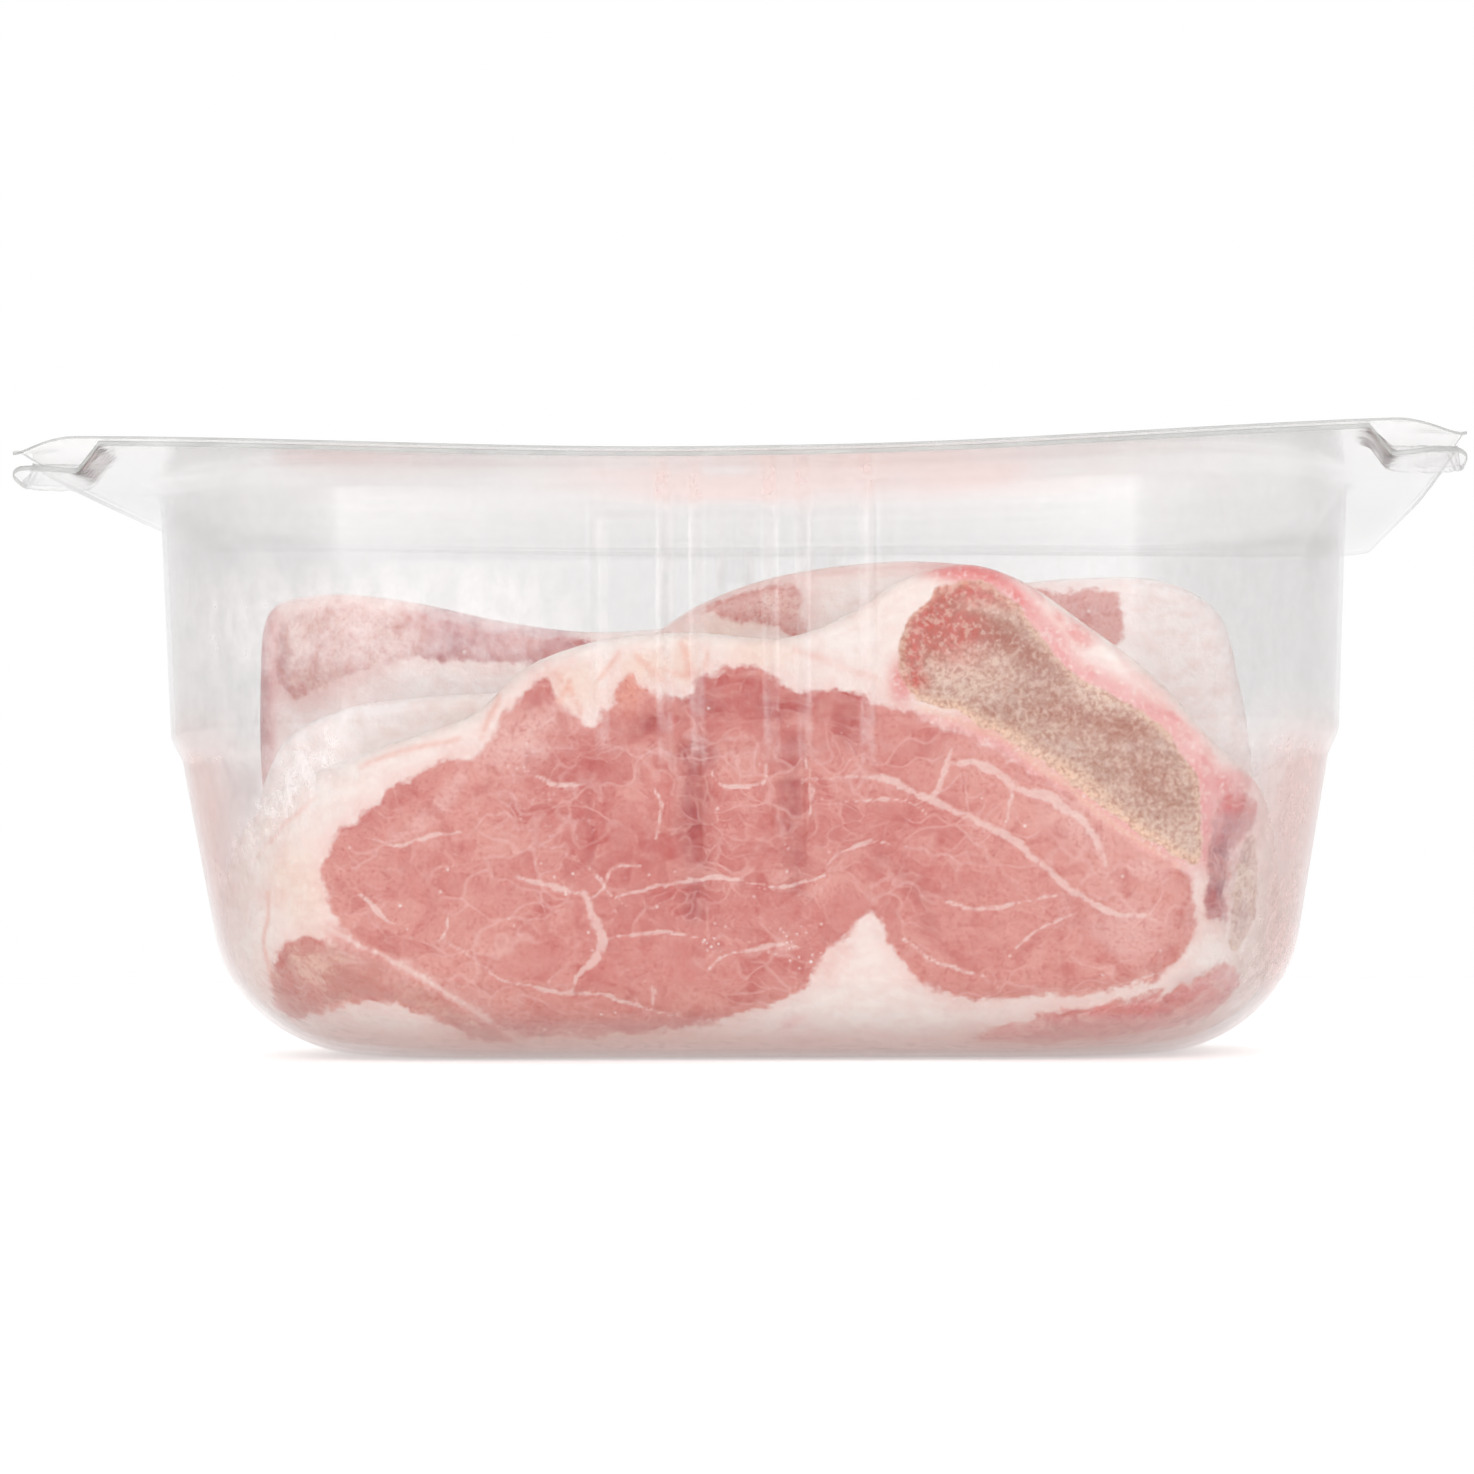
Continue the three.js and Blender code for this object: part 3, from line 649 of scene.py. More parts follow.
LEAN = srgb(207, 112, 102)
LEAN_PALE = srgb(219, 142, 131)
LEAN_DEEP = srgb(184, 44, 36)
LEAN_DARK = srgb(160, 8, 12)
LEAN_PURPLE = srgb(178, 108, 118)
LEAN_GREY = srgb(206, 152, 138)
FAT = srgb(247, 231, 223)
FAT_PINK = srgb(236, 190, 182)
FAT_PEACH = srgb(244, 212, 192)
FAT_WHITE = srgb(248, 238, 233)
# Fat of the rear chops, painted lighter than FAT: painted light that makes up for the shade they get behind
# the tinted plastic and the chops in front
REAR_FAT_PAINTED_LIGHT = srgb(255, 248, 246)
FLESH_RED = srgb(222, 70, 68)
FLESH_PINK = srgb(230, 138, 138)
BONE_GREY = srgb(188, 148, 130)
BONE_BEIGE = srgb(234, 206, 188)
BONE_BROWN = srgb(160, 78, 52)
BONE_RED = srgb(206, 60, 46)
BONE_RIM = srgb(240, 200, 172)
FLESH_PALE = srgb(230, 166, 154)
FLESH_ORANGE = srgb(232, 146, 120)
PURPLE_DARK = srgb(132, 74, 84)


def spot(x, z, cx, cz, rx, rz, turn=0.0):
    """A soft oval patch, 1 at its middle."""
    c, s = math.cos(math.radians(turn)), math.sin(math.radians(turn))
    u = ((x - cx) * c + (z - cz) * s) / rx
    v = (-(x - cx) * s + (z - cz) * c) / rz
    return np.exp(-((u**2 + v**2) ** 1.5))


def wavy(x, z, reach=0.7, size=4.0):
    """The same places, each moved a little, so that what is drawn there wanders."""
    return x + reach * noise(x, 0, z, size, 301), z + reach * noise(x, 50, z, size, 302)


def stroke(x, z, points, half, soft=0.8):
    """A soft line, 1 along its middle, that narrows to its ends."""
    x, z = wavy(x, z)
    distance, along = line_distance(x.ravel(), z.ravel(), curve(points, 1, closed=False))
    width = half * (0.45 + 0.55 * np.sin(np.clip(along, 0.02, 0.98) * math.pi))
    return smooth(half * soft + 0.35, -half * soft - 0.35, (distance - width)).reshape(x.shape)


def blend_in(colour, other, amount):
    return colour + (other - colour) * np.clip(amount, 0, 1)[..., None]


def daub(colour, x, z, other, spots, grow=1.0):
    """The colour with soft patches of another: each one's share, middle, half-sizes and turn."""
    for share, *place in spots:
        colour = blend_in(colour, other, share * grow * spot(x, z, *place))
    return colour


def shape_depth(x, z, shape):
    return depth_inside(x.ravel(), z.ravel(), curve(shape, 0.8)).reshape(x.shape)


# Seams of fat in the front chop's muscle: half-width, and the places that each passes through
FRONT_SEAMS = [
    (0.85, [(10.6, 45.7), (15.5, 46.6), (21.5, 46.6), (25.8, 45.7), (29.4, 43.9), (36.7, 40.2), (41.5, 37.8),
            (45.8, 35.4), (48.8, 32.4), (54.8, 27.6), (60, 24.5), (66, 24)]),
    (0.7, [(32.4, 43), (33.7, 46.9), (34.9, 51)]),
    (0.95, [(34.9, 48.8), (39.1, 48.8), (45.8, 44.6), (50, 43.3), (53.7, 40.9), (56.7, 38.5), (58.5, 35.4),
            (59.9, 31.5)]),
    (0.5, [(45.2, 44.6), (44, 41.5), (43.5, 38.5)]),
    (0.4, [(53.7, 27.6), (48.8, 26.6), (42.7, 25.4), (37.9, 25.1), (33, 26.4)]),
    (0.25, [(54.9, 24.5), (47.6, 20.6), (45.2, 18.5)]),
    (0.5, [(72, 16), (64.6, 13), (61, 10.6), (57, 9.6)]),
    (0.35, [(12, 43), (19.7, 42.7), (27.6, 42.7), (30.6, 40.2)]),
    (0.3, [(14.8, 32.4), (17.3, 34.8), (21.5, 36), (27, 35.5)]),
    (0.5, [(-37.3, 30.8), (-33.6, 29.9), (-30, 28.7), (-25.1, 26.9)]),
    (1.15, [(-26, 28), (-24.6, 25.5), (-23.3, 22), (-22.9, 19.4), (-24, 17), (-27, 14.4)]),
    (0.4, [(-27, 14.6), (-27.8, 12), (-30, 11.6)]),
    (0.4, [(-24.5, 27), (-22.4, 29), (-24.2, 32), (-25, 33.5)]),
    (0.35, [(-22.4, 29), (-19, 25.9)]),
    (0.3, [(-22, 29.6), (-21, 32), (-15.3, 32.7)]),
    (0.35, [(-20.9, 27.5), (-15.4, 28.7), (-10.6, 29.3), (-3.3, 30.3), (6.9, 29), (14, 30.5)]),
    (0.35, [(-22.2, 20.2), (-16.7, 21.4), (-10, 21.4), (-6.3, 20.5)]),
    (0.5, [(-5.8, 15), (-3.3, 17.2), (0.9, 18.4), (6.9, 19.3), (12, 18.6)]),
    (0.35, [(-49.4, 20.5), (-44.6, 17.5), (-39.7, 13.8), (-33.6, 12.3), (-21.5, 10.8), (-15.5, 8.8),
            (-8.2, 7.4)]),
    (0.3, [(-48.5, 24), (-48.8, 21), (-51, 19)]),
    (0.3, [(-63, 28), (-60.3, 25.7), (-57, 23)]),
    (0.35, [(-61.5, 36.9), (-55.5, 36.3), (-50.6, 37.5), (-45.8, 38.1)]),
    (0.3, [(-15, 9.5), (-14.4, 12), (-15.8, 14)]),
    (0.4, [(-4, 47.8), (-3.3, 45.4), (-0.3, 45.4), (4.6, 45.7), (5.2, 47.8), (4, 50.8)]),
    (0.3, [(-33, 47), (-29, 45.6), (-25, 45.8)]),
    (0.3, [(11, 50), (12.4, 46), (12, 40)]),
    (0.3, [(27, 20), (33, 16), (40, 14)]),
    (0.35, [(-13.6, 37), (-12.6, 41), (-13.8, 45)]),
]


# Patches on the front chop: share, middle, half-sizes and turn in degrees
MEAT_DEEP = [
    (0.75, -31, 46, 12, 8, 30), (0.5, -22, 38, 8, 8), (0.85, -3, 61, 7, 4.5), (0.85, 6, 60, 6, 5),
    (0.95, 17.5, 57.5, 4.4, 4.2), (0.75, -31.5, 61, 5, 3.4), (0.75, -55, 44.4, 7, 2.6, 35),
    (0.6, 28, 28, 8, 2.4, -50), (0.35, 4, 15, 11, 4), (0.3, 20, 38, 9, 6), (0.3, 38, 18, 10, 5),
    (0.5, -6, 56, 12, 3), (0.3, -12, 26, 9, 6), (0.35, 30, 47, 9, 3, -15), (0.3, 50, 20, 10, 4, 10),
    (0.3, -50, 34, 8, 5, 20), (0.35, -20, 57, 3, 4),
]
MEAT_PALE = [
    (0.5, -16, 44, 4, 8), (0.8, 1, 50, 5, 4), (0.5, 30, 50, 14, 3, -18), (0.45, -38, 54, 6, 4),
    (0.5, 26, 20, 8, 4), (0.5, 62, 36, 8, 5, -30), (0.4, -40, 16, 16, 5, -12), (0.4, -2, 11, 14, 3),
    (0.4, -58, 30, 7, 5), (0.45, 12, 32, 8, 4), (0.5, -8, 66, 2, 3), (0.4, 66, 18, 7, 4),
]
MEAT_DARK = [
    (0.95, -15.2, 54.4, 3, 2), (0.7, 18, 56, 2.4, 4), (0.7, -6, 58.5, 5, 1.6, -12), (0.5, 8, 58, 5, 1.6),
]
MEAT_KNOTS = [
    (0.75, 61.5, 23, 8, 4.5, -20), (0.8, 65.5, 30.6, 6, 3, 20), (0.5, 55, 37.5, 4, 9, 40),
    (0.35, 68, 20, 7, 7),
]
FAT_WARM = [
    (0.7, -14, 65, 5, 3), (0.6, -26, 62, 5, 4), (0.55, -74, 30, 5, 9, 20), (0.5, 4, 67, 6, 3),
    (0.6, -8, 66, 2.4, 4), (0.4, -70, 16, 7, 4), (0.45, -30, 4, 22, 2), (0.5, 78, 30, 3, 9),
]
FAT_STAINS = [
    (0.6, 81, 45.5, 4, 2.2), (0.75, 27, 62, 2.2, 3.8), (0.75, 8.5, 6.6, 2.4, 1, 25),
    (0.8, 37.5, 79.6, 8, 1.8, -4),
]
BONE_STAINS = [
    (0.95, 31.5, 73.5, 5, 4, -10), (0.9, 43, 68.5, 6.5, 3, -25), (0.8, 56, 56, 8, 2.4, -14),
    (0.6, 36, 70, 5, 3), (0.5, 49, 64, 6, 3, -35), (0.4, 66, 46, 6, 3, -40), (0.5, 64, 53, 5, 2, -30),
]
BONE_BLOOD = [
    (0.95, 37, 77, 8, 2.6, -8), (0.75, 35, 70, 7, 5, -20), (0.95, 29, 62, 2.4, 2.6),
    (0.65, 29.6, 72, 2.6, 5, -12), (0.7, 28.4, 66.6, 1.6, 4), (0.5, 33, 76, 3, 2, 30),
    (0.45, 46, 74, 3, 1.6, -40),
]
# White specks on the front chop: foam of bubbles in the juice, and painted glints on droplets and wet sheen.
# Each has share, middle, half-sizes and turn
FOAM_AND_GLINTS = [
    (1, 11.5, 18, 7, 3.4, -20), (0.8, -4, 20.5, 5, 2.6), (0.6, 2, 28, 3, 2), (0.5, -36, 50, 4, 3),
    (0.35, -30, 40, 9, 8), (0.6, 8.5, 32, 1.6, 5),
]
# Folds in the front chop's fat, drawn as warm orange lines, partly the fat's own tint and partly painted
# shade in their grooves: half-width, and the places that each passes through
FAT_FOLD_LINES_AND_SHADE = [
    (0.45, [(-27.6, 62.4), (-29.6, 58.4), (-31.6, 56)]), (0.4, [(-19, 67.6), (-20.4, 65.4), (-22.6, 62.8)]),
    (0.45, [(-4.6, 67), (-5.4, 64.6), (-8.2, 63.4), (-12, 64.4)]),
    (0.5, [(-42, 53.9), (-39.6, 60), (-40.6, 62)]),
    (0.35, [(-79, 28.5), (-80.4, 20.6), (-80.6, 14)]), (0.5, [(-16, 67), (-12.4, 63), (-10.5, 62)]),
    (0.4, [(-62, 49), (-54, 52), (-46, 53.4)]), (0.5, [(-9, 68.5), (-7.6, 64.6), (-6.4, 62)]),
    (0.35, [(-30, 64), (-27, 60.4), (-25.6, 57)]), (0.3, [(-81, 34), (-76, 39), (-70, 44)]),
    (0.4, [(10, 67.4), (18, 64.6), (24, 62)]),
]


def front_meat(x, z):
    """The colours of the front chop's main muscle."""
    broad, fine, tiny = noise(x, 3, z, 15, 5), noise(x, 7, z, 4.5, 6), noise(x, 4, z * 1.4, 1.6, 7)
    bx, bz = wavy(x, z, 2.2, 7)
    meat = blend_in(LEAN, LEAN_PALE, 0.4 + 0.9 * broad + 0.5 * fine)
    meat = blend_in(meat, LEAN_DEEP, 0.25 * smooth(0.05, 0.6, noise(x, 9, z, 9, 8)) + 0.22 * tiny)
    meat = daub(meat, bx, bz, LEAN_DEEP, MEAT_DEEP)
    meat = daub(meat, bx, bz, FLESH_PALE, MEAT_PALE)
    meat = daub(meat, bx, bz, FAT_PINK, [(0.8, -34.5, 54, 9, 5, 25)])
    meat = daub(meat, bx, bz, LEAN_DEEP, [(0.6, -32.5, 60.4, 4.4, 1.8, 20)])
    meat = daub(meat, bx, bz, FLESH_ORANGE, [(0.8, -18.5, 61, 3.6, 4)])
    meat = daub(meat, bx, bz, LEAN_DARK, MEAT_DARK)
    # A crease painted dark red: painted shade in the crease
    crease_shade = [(22, 34.4), (26, 31.4), (30, 26.5), (31.4, 21.5)]
    meat = blend_in(meat, LEAN_DARK, 0.55 * stroke(x, z, crease_shade, 0.9))
    meat = blend_in(meat, FLESH_PALE, 0.4 * smooth(20, 42, np.abs(x + 2)) + 0.25 * smooth(22, 10, z))
    meat = daub(meat, x, z, LEAN_DEEP, [(0.16, -2, 40, 22, 18)])
    meat = daub(meat, bx, bz, FAT_PINK, MEAT_KNOTS, 0.8 + 0.7 * noise(x, 6, z, 3.5, 92))
    band = stroke(x, z, [(-57, 37.8), (-53.7, 39), (-49.4, 42.3), (-45.4, 47)], 1.5)
    return blend_in(meat, FAT_PINK, 0.7 * band)


def front_press(x, z):
    """Where the two ribs press on the front chop, from 0 to 1."""
    left = stroke(x, z, [(-7.2, 25), (-7.4, 38), (-7.2, 52)], 2.3)
    left = np.maximum(left, spot(x, z, -6.8, 50.6, 3.2, 3.4))
    core = stroke(x, z, [(-7.4, 38), (-7.5, 43), (-7.3, 48)], 1)
    right = stroke(x, z, [(9.2, 29), (9, 42), (8.8, 53)], 2.2)
    edge = stroke(x, z, [(-24.4, 32), (-24.3, 51)], 0.5)
    press = np.maximum.reduce([1.15 * left, right, 0.5 * edge]) + 0.3 * core
    return np.clip(press * smooth(55, 52.5, z) * (0.9 + 0.25 * noise(x, 5, z, 6, 91)), 0, 1)


def front_fat(x, z, lean, bone):
    """The colours of the front chop's fat, and of the flesh by its bone."""
    fat = blend_in(FAT, FAT_WHITE, 0.3 + 0.6 * noise(x, 1, z, 12, 21))
    fat = blend_in(fat, FAT_PINK, 0.8 * smooth(-4.5, -0.2, lean) * (0.5 + 0.6 * noise(x, 5, z, 6, 22)))
    fat = blend_in(fat, FAT_PINK, 0.5 * smooth(0.1, 0.7, noise(x, 8, z * 1.5, 7, 23)))
    fat = daub(fat, x, z, FAT_PEACH, FAT_WARM)
    fat = blend_in(fat, FAT_PEACH, 0.6 * spot(x, z, 29, 33, 30, 3, -40) * smooth(34, 26, x))
    # The folds are painted orange: partly the fat's tint, partly painted shade in the grooves
    for half, line in FAT_FOLD_LINES_AND_SHADE:
        fat = blend_in(fat, FLESH_ORANGE, 0.6 * stroke(x, z, line, half))
    fat = blend_in(fat, FAT_PINK, 0.5 * smooth(30, 60, x) * smooth(12, 5, z) + 0.2 * smooth(6, 2, z))
    fat = beside_bone(fat, x, z, -bone)
    fat = daub(fat, x, z, FAT_WHITE, [(0.95, 19, 68, 5.5, 4.2), (0.8, 76, 17.5, 4, 2.6)])
    fat = daub(fat, x, z, FLESH_PINK, [(0.6, 79, 40, 4, 8)])
    fat = daub(fat, x, z, FAT_WHITE, [(0.8, 18, 8, 16, 5)])
    return daub(fat, x, z, LEAN_PURPLE, [(0.35, 74, 12.5, 4, 2.2, 20), (0.4, 79, 30, 3.4, 9)])


def beside_bone(fat, x, z, away):
    """The fat with the red and pink flesh beside the bone. away is the distance to the bone."""
    fat = blend_in(fat, FLESH_PINK, 0.75 * smooth(5.5, 0.5, away) * smooth(34, 40, x) * smooth(28, 34, z))
    rim = stroke(x, z, [(34, 80), (42, 79), (50, 73.2), (58, 66), (66, 60.6), (73, 54.5), (78, 47)], 1.5)
    streaks = smooth(-0.15, 0.25, noise(x + z * 0.8, 2, (z - x) * 0.35, 4, 24))
    outer_end = smooth(48, 56, x) * smooth(40, 48, z)
    fat = blend_in(fat, FLESH_RED, rim * smooth(3.4, 0.6, away) * (0.45 + 0.5 * streaks))
    fat = blend_in(fat, FLESH_RED, 0.35 * streaks * smooth(7, 2, away) * outer_end)
    fat = daub(fat, x, z, FLESH_RED, FAT_STAINS)
    fat = daub(fat, x, z, FLESH_RED, [(0.5, 53, 71, 12, 4, -40)], streaks)
    tissue = [(27, 57), (38, 54.4), (50, 47), (62, 37.6), (73, 29.6)]
    fat = blend_in(fat, FLESH_PINK, 0.75 * stroke(x, z, tissue, 1.1))
    return blend_in(fat, BONE_RIM, 0.6 * stroke(x, z, [(30, 58), (44, 52), (58, 41), (72, 31)], 0.7))


def front_bone(x, z, depth, spur):
    """The colours of the front chop's sawn bone."""
    bx, bz = wavy(x, z, 1.6, 5)
    grey = blend_in(BONE_GREY, BONE_BEIGE, 0.3 + 0.8 * noise(x, 2, z, 7, 31) - 0.1 * smooth(50, 66, x))
    grey = blend_in(grey, BONE_BROWN, 0.6 * smooth(0.0, 0.6, noise(x, 9, z, 2.6, 34)) * smooth(62, 40, x))
    grey = daub(grey, bx, bz, BONE_BROWN, BONE_STAINS, 0.85 + 0.4 * noise(x, 9, z, 3, 33))
    grey = daub(grey, bx, bz, BONE_BEIGE, [(0.8, 40, 74.6, 4, 1.8, -20), (0.8, 36, 64.6, 6, 3)])
    grey = daub(grey, bx, bz, BONE_RED, BONE_BLOOD)
    near_eye = stroke(x, z, [(29, 60), (37, 57), (48, 51), (58, 43.6), (68, 36.2), (74, 32.6)], 1.3)
    grey = blend_in(grey, BONE_RIM, 0.8 * near_eye + 0.45 * smooth(1.5, 0.3, depth))
    grey = blend_in(grey, BONE_BEIGE, 0.9 * smooth(-0.5, 0.5, spur))
    return daub(grey, bx, bz, LEAN_PURPLE, [(0.6, 83, 34.5, 2, 2.4), (0.4, 82, 24, 1.4, 3)])


def small_muscles(meat, x, z, depth):
    """The meat's colours with the flank, belly and collar in their own."""
    flank = smooth(-0.5, 1.5, depth["flank"])
    streaks = smooth(0, 0.5, noise((x - 0.5 * z) * 0.25, 2, (z + 0.5 * x) * 1.5, 2.2, 51))
    meat = blend_in(meat, LEAN_GREY, 0.95 * flank)
    meat = blend_in(meat, FAT_PEACH, 0.5 * flank * streaks)
    belly = smooth(-0.5, 1, depth["belly"])
    meat = blend_in(meat, FLESH_PINK, 0.9 * belly)
    meat = blend_in(meat, FAT_PINK, 0.75 * belly * (0.4 + 0.6 * streaks))
    stain = [(50, 7.6), (57.3, 8.4), (63.3, 8), (70, 9), (77, 12.4)]
    meat = blend_in(meat, FLESH_RED, 0.6 * stroke(x, z, stain, 0.8))
    collar = smooth(-0.6, 0.6, depth["collar"])
    meat = blend_in(meat, LEAN_PURPLE, collar * 0.95)
    meat = blend_in(meat, PURPLE_DARK, collar * smooth(38, 31, z) * (0.6 + 0.4 * streaks))
    return blend_in(meat, FLESH_RED, collar * smooth(38.5, 42, z) * 0.8)


def front_look(x, z, shapes):
    """The front chop's colours, seams and relief, read off its face."""
    wx, wz = wavy(x, z, 0.5, 3)
    depth = {name: shape_depth(wx, wz, shape) for name, shape in shapes.items() if name != "body"}
    lean = np.maximum.reduce([depth[name] for name in ("eye", "flank", "belly", "collar")])
    bone = np.maximum(depth["bone"], depth["spur"])
    seam = np.maximum.reduce([stroke(x, z, points, max(0.85 * half, 0.36)) for half, points in FRONT_SEAMS])
    seam *= 0.8 + 0.35 * noise(x, 6, z, 5, 44)
    press = front_press(x, z)
    meat = small_muscles(blend_in(front_meat(x, z), LEAN_DARK, press), x, z, depth)
    joined = smooth(-3.6, -1.6, depth["flank"]) * smooth(-3.6, -1.6, depth["eye"])
    joined *= 0.8 - 0.5 * smooth(1.2, 0.3, np.abs(depth["flank"] - depth["eye"]))
    relief = 0.4 * smooth(-1, 2.5, lean) - 0.3 * seam - 0.3 * press + 0.14 * noise(x, 0, z, 5, 11)
    relief = relief + 0.12 * smooth(0, 1, bone) * noise(x, 2, z, 1.8, 35)
    relief = relief + 0.4 * noise(x, 7, z, 4.5, 6) * smooth(0, -3, lean)
    return {
        "lean": lean,
        "bone": bone,
        "seam": seam * smooth(-0.6, 0.8, lean) * smooth(0.4, -0.4, bone),
        # Foam bubbles, and painted glints on droplets
        "foam": np.clip(sum(share * spot(wx, wz, *place) for share, *place in FOAM_AND_GLINTS), 0, 1),
        "meat_colour": meat,
        "fat_colour": blend_in(front_fat(x, z, lean, depth["bone"]), LEAN_PALE, joined),
        "bone_colour": front_bone(x, z, depth["bone"], depth["spur"]),
        "relief": relief,
    }


def plain_look(x, z, shapes, muscles, seed):
    """A chop that is mostly hidden: muscles, bone and seams with seeded variation."""
    depth = {name: shape_depth(x, z, shape) for name, shape in shapes.items() if name != "body"}
    lean = np.maximum.reduce([depth[name] for name in muscles])
    bone = depth["bone"]
    seam = smooth(0.05, 0.02, np.abs(noise(x, seed, z, 17, seed))) * smooth(0, 3, lean)
    seam = seam * smooth(-0.2, 0.3, noise(x, 4, z, 22, seed + 1))
    # The rear chops' fat is painted lighter: painted light for the shade they sit in
    fat = blend_in(FAT, REAR_FAT_PAINTED_LIGHT, 0.8 + 0.5 * noise(x, 1, z, 12, seed + 3))
    fat = blend_in(fat, FAT_PINK, 0.5 * smooth(-4, 0, lean) + 0.2 * noise(x, 2, z, 9, seed + 4))
    grey = blend_in(BONE_GREY, BONE_BEIGE, 0.5 + 0.8 * noise(x, 2, z, 8, seed + 5))
    grey = blend_in(grey, BONE_BROWN, 0.8 * noise(x, 6, z, 9, seed + 6) + 0.1)
    return {
        "lean": lean,
        "bone": bone,
        "seam": seam,
        "foam": 0 * x,
        "meat_colour": blend_in(LEAN, LEAN_PALE, 0.35 + 0.5 * noise(x, 3, z, 14, seed + 2)),
        "fat_colour": blend_in(fat, FLESH_PINK, 0.8 * smooth(4, 0.5, -bone)),
        "bone_colour": blend_in(grey, BONE_RIM, smooth(1.6, 0.3, bone)),
        "relief": 0.35 * smooth(-1, 2.5, lean) - 0.3 * seam + 0.2 * noise(x, 7, z, 5, seed + 7),
    }


def second_look(x, z, shapes):
    fields = plain_look(x, z, shapes, ("eye", "cap"), 140)
    fat = daub(fields["fat_colour"], x, z, FAT_PEACH, [(0.5, -4, 72, 8, 4, 20), (0.4, -16, 68, 6, 3, 30)])
    crest = [(-24, 68.4), (-12, 73.4), (-2, 79.6), (14, 82.4), (34, 83)]
    fat = blend_in(fat, FAT_PINK, 0.7 * stroke(x, z, crest, 1.2))
    fields["fat_colour"] = daub(fat, x, z, FLESH_PINK, [(0.6, 42, 80, 14, 3, -20)])
    cap = smooth(-0.5, 0.8, shape_depth(x, z, shapes["cap"]))
    meat = blend_in(fields["meat_colour"], FAT_PINK, 0.92 * cap)
    fields["meat_colour"] = blend_in(meat, FAT, 0.35 * cap)
    return fields


def third_look(x, z, shapes):
    fields = plain_look(x, z, shapes, ("eye", "cap", "tail"), 160)
    upper, left = smooth(60, 68, z), smooth(-56, -64, x)
    streaks = smooth(-0.2, 0.5, noise(x * 0.35, 3, z * 1.6, 3, 171))
    frost = smooth(0.0, 0.45, noise(x, 5, z * 2, 3.4, 172)) * smooth(-30, -36, x) * smooth(74, 78, z)
    meat = blend_in(fields["meat_colour"], LEAN_PURPLE, 0.85 * upper * (1 - 0.4 * streaks))
    meat = blend_in(meat, FAT_PINK, upper * left * (0.65 + 0.35 * streaks))
    meat = blend_in(meat, FAT_PINK, 0.8 * upper * smooth(30, 40, x))
    meat = blend_in(meat, FAT, 0.4 * upper * left)
    meat = blend_in(meat, LEAN_PURPLE, 0.5 * upper * smooth(-83, -86, x))
    fields["meat_colour"] = blend_in(meat, FAT_WHITE, 0.6 * frost)
    top = smooth(-4.5, -1.5, shape_depth(x, z, shapes["cap"])) * smooth(71, 75, z) * smooth(-28, -36, x)
    fat = blend_in(fields["fat_colour"], LEAN_PURPLE, 0.75 * top * (1 - left))
    fat = blend_in(fat, FAT_PINK, 0.6 * top * left)
    fat = blend_in(fat, FAT_WHITE, 0.7 * frost)
    fat = blend_in(fat, FLESH_PINK, 0.25 * spot(x, z, -78, 68, 12, 9) + 0.5 * smooth(-84, -89, x))
    # The upper right end is painted pale: a painted reflection of the lamp in the front wall, which lies over
    # it
    fat = blend_in(fat, REAR_FAT_PAINTED_LIGHT, 0.8 * smooth(40, 70, x) * smooth(50, 62, z))
    fields["fat_colour"] = blend_in(fat, LEAN_PURPLE, 0.55 * smooth(-86.5, -89.5, x) * smooth(46, 60, z))
    return fields


def back_look(x, z, shapes):
    return plain_look(x, z, shapes, ("eye",), 180)


# Materials

class Nodes:
    """The nodes of a material or world, made with short calls."""

    def __init__(self, owner):
        owner.use_nodes = True
        self.tree = owner.node_tree
        self.tree.nodes.clear()

    def add(self, kind, inputs=None, **settings):
        node = self.tree.nodes.new("ShaderNode" + kind)
        for key, value in settings.items():
            setattr(node, key, value)
        for key, value in (inputs or {}).items():
            if isinstance(value, bpy.types.NodeSocket):
                self.tree.links.new(value, node.inputs[key])
            else:
                node.inputs[key].default_value = value
        return node

    def math(self, operation, a, b=0.0, clamp=False):
        return self.add("Math", {0: a, 1: b}, operation=operation, use_clamp=clamp).outputs[0]

    def times(self, a, b):
        return self.math("MULTIPLY", a, b)

    def plus(self, a, b):
        return self.math("ADD", a, b)

    def vector(self, operation, inputs):
        return self.add("VectorMath", inputs, operation=operation).outputs[0]

    def read(self, name, kind="Fac"):
        """A number or colour that the mesh carries."""
        return self.add("Attribute", attribute_name=name).outputs[kind]

    def step(self, value, low, high, to_low=0.0, to_high=1.0):
        inputs = {"Value": value, "From Min": low, "From Max": high, "To Min": to_low, "To Max": to_high}
        return self.add("MapRange", inputs, interpolation_type="SMOOTHSTEP").outputs[0]

    def mix(self, share, a, b):
        def fit(c):
            return c if isinstance(c, bpy.types.NodeSocket) else (*c, 1.0)

        inputs = {0: share, 6: fit(a), 7: fit(b)}
        return self.add("Mix", inputs, data_type="RGBA", clamp_factor=True).outputs[2]

    def stain(self, colour, other, mask, low, high, share):
        """The colour, mixed with another by up to that share where the mask rises from low to high."""
        return self.mix(self.step(mask, low, high, 0, share), colour, other)


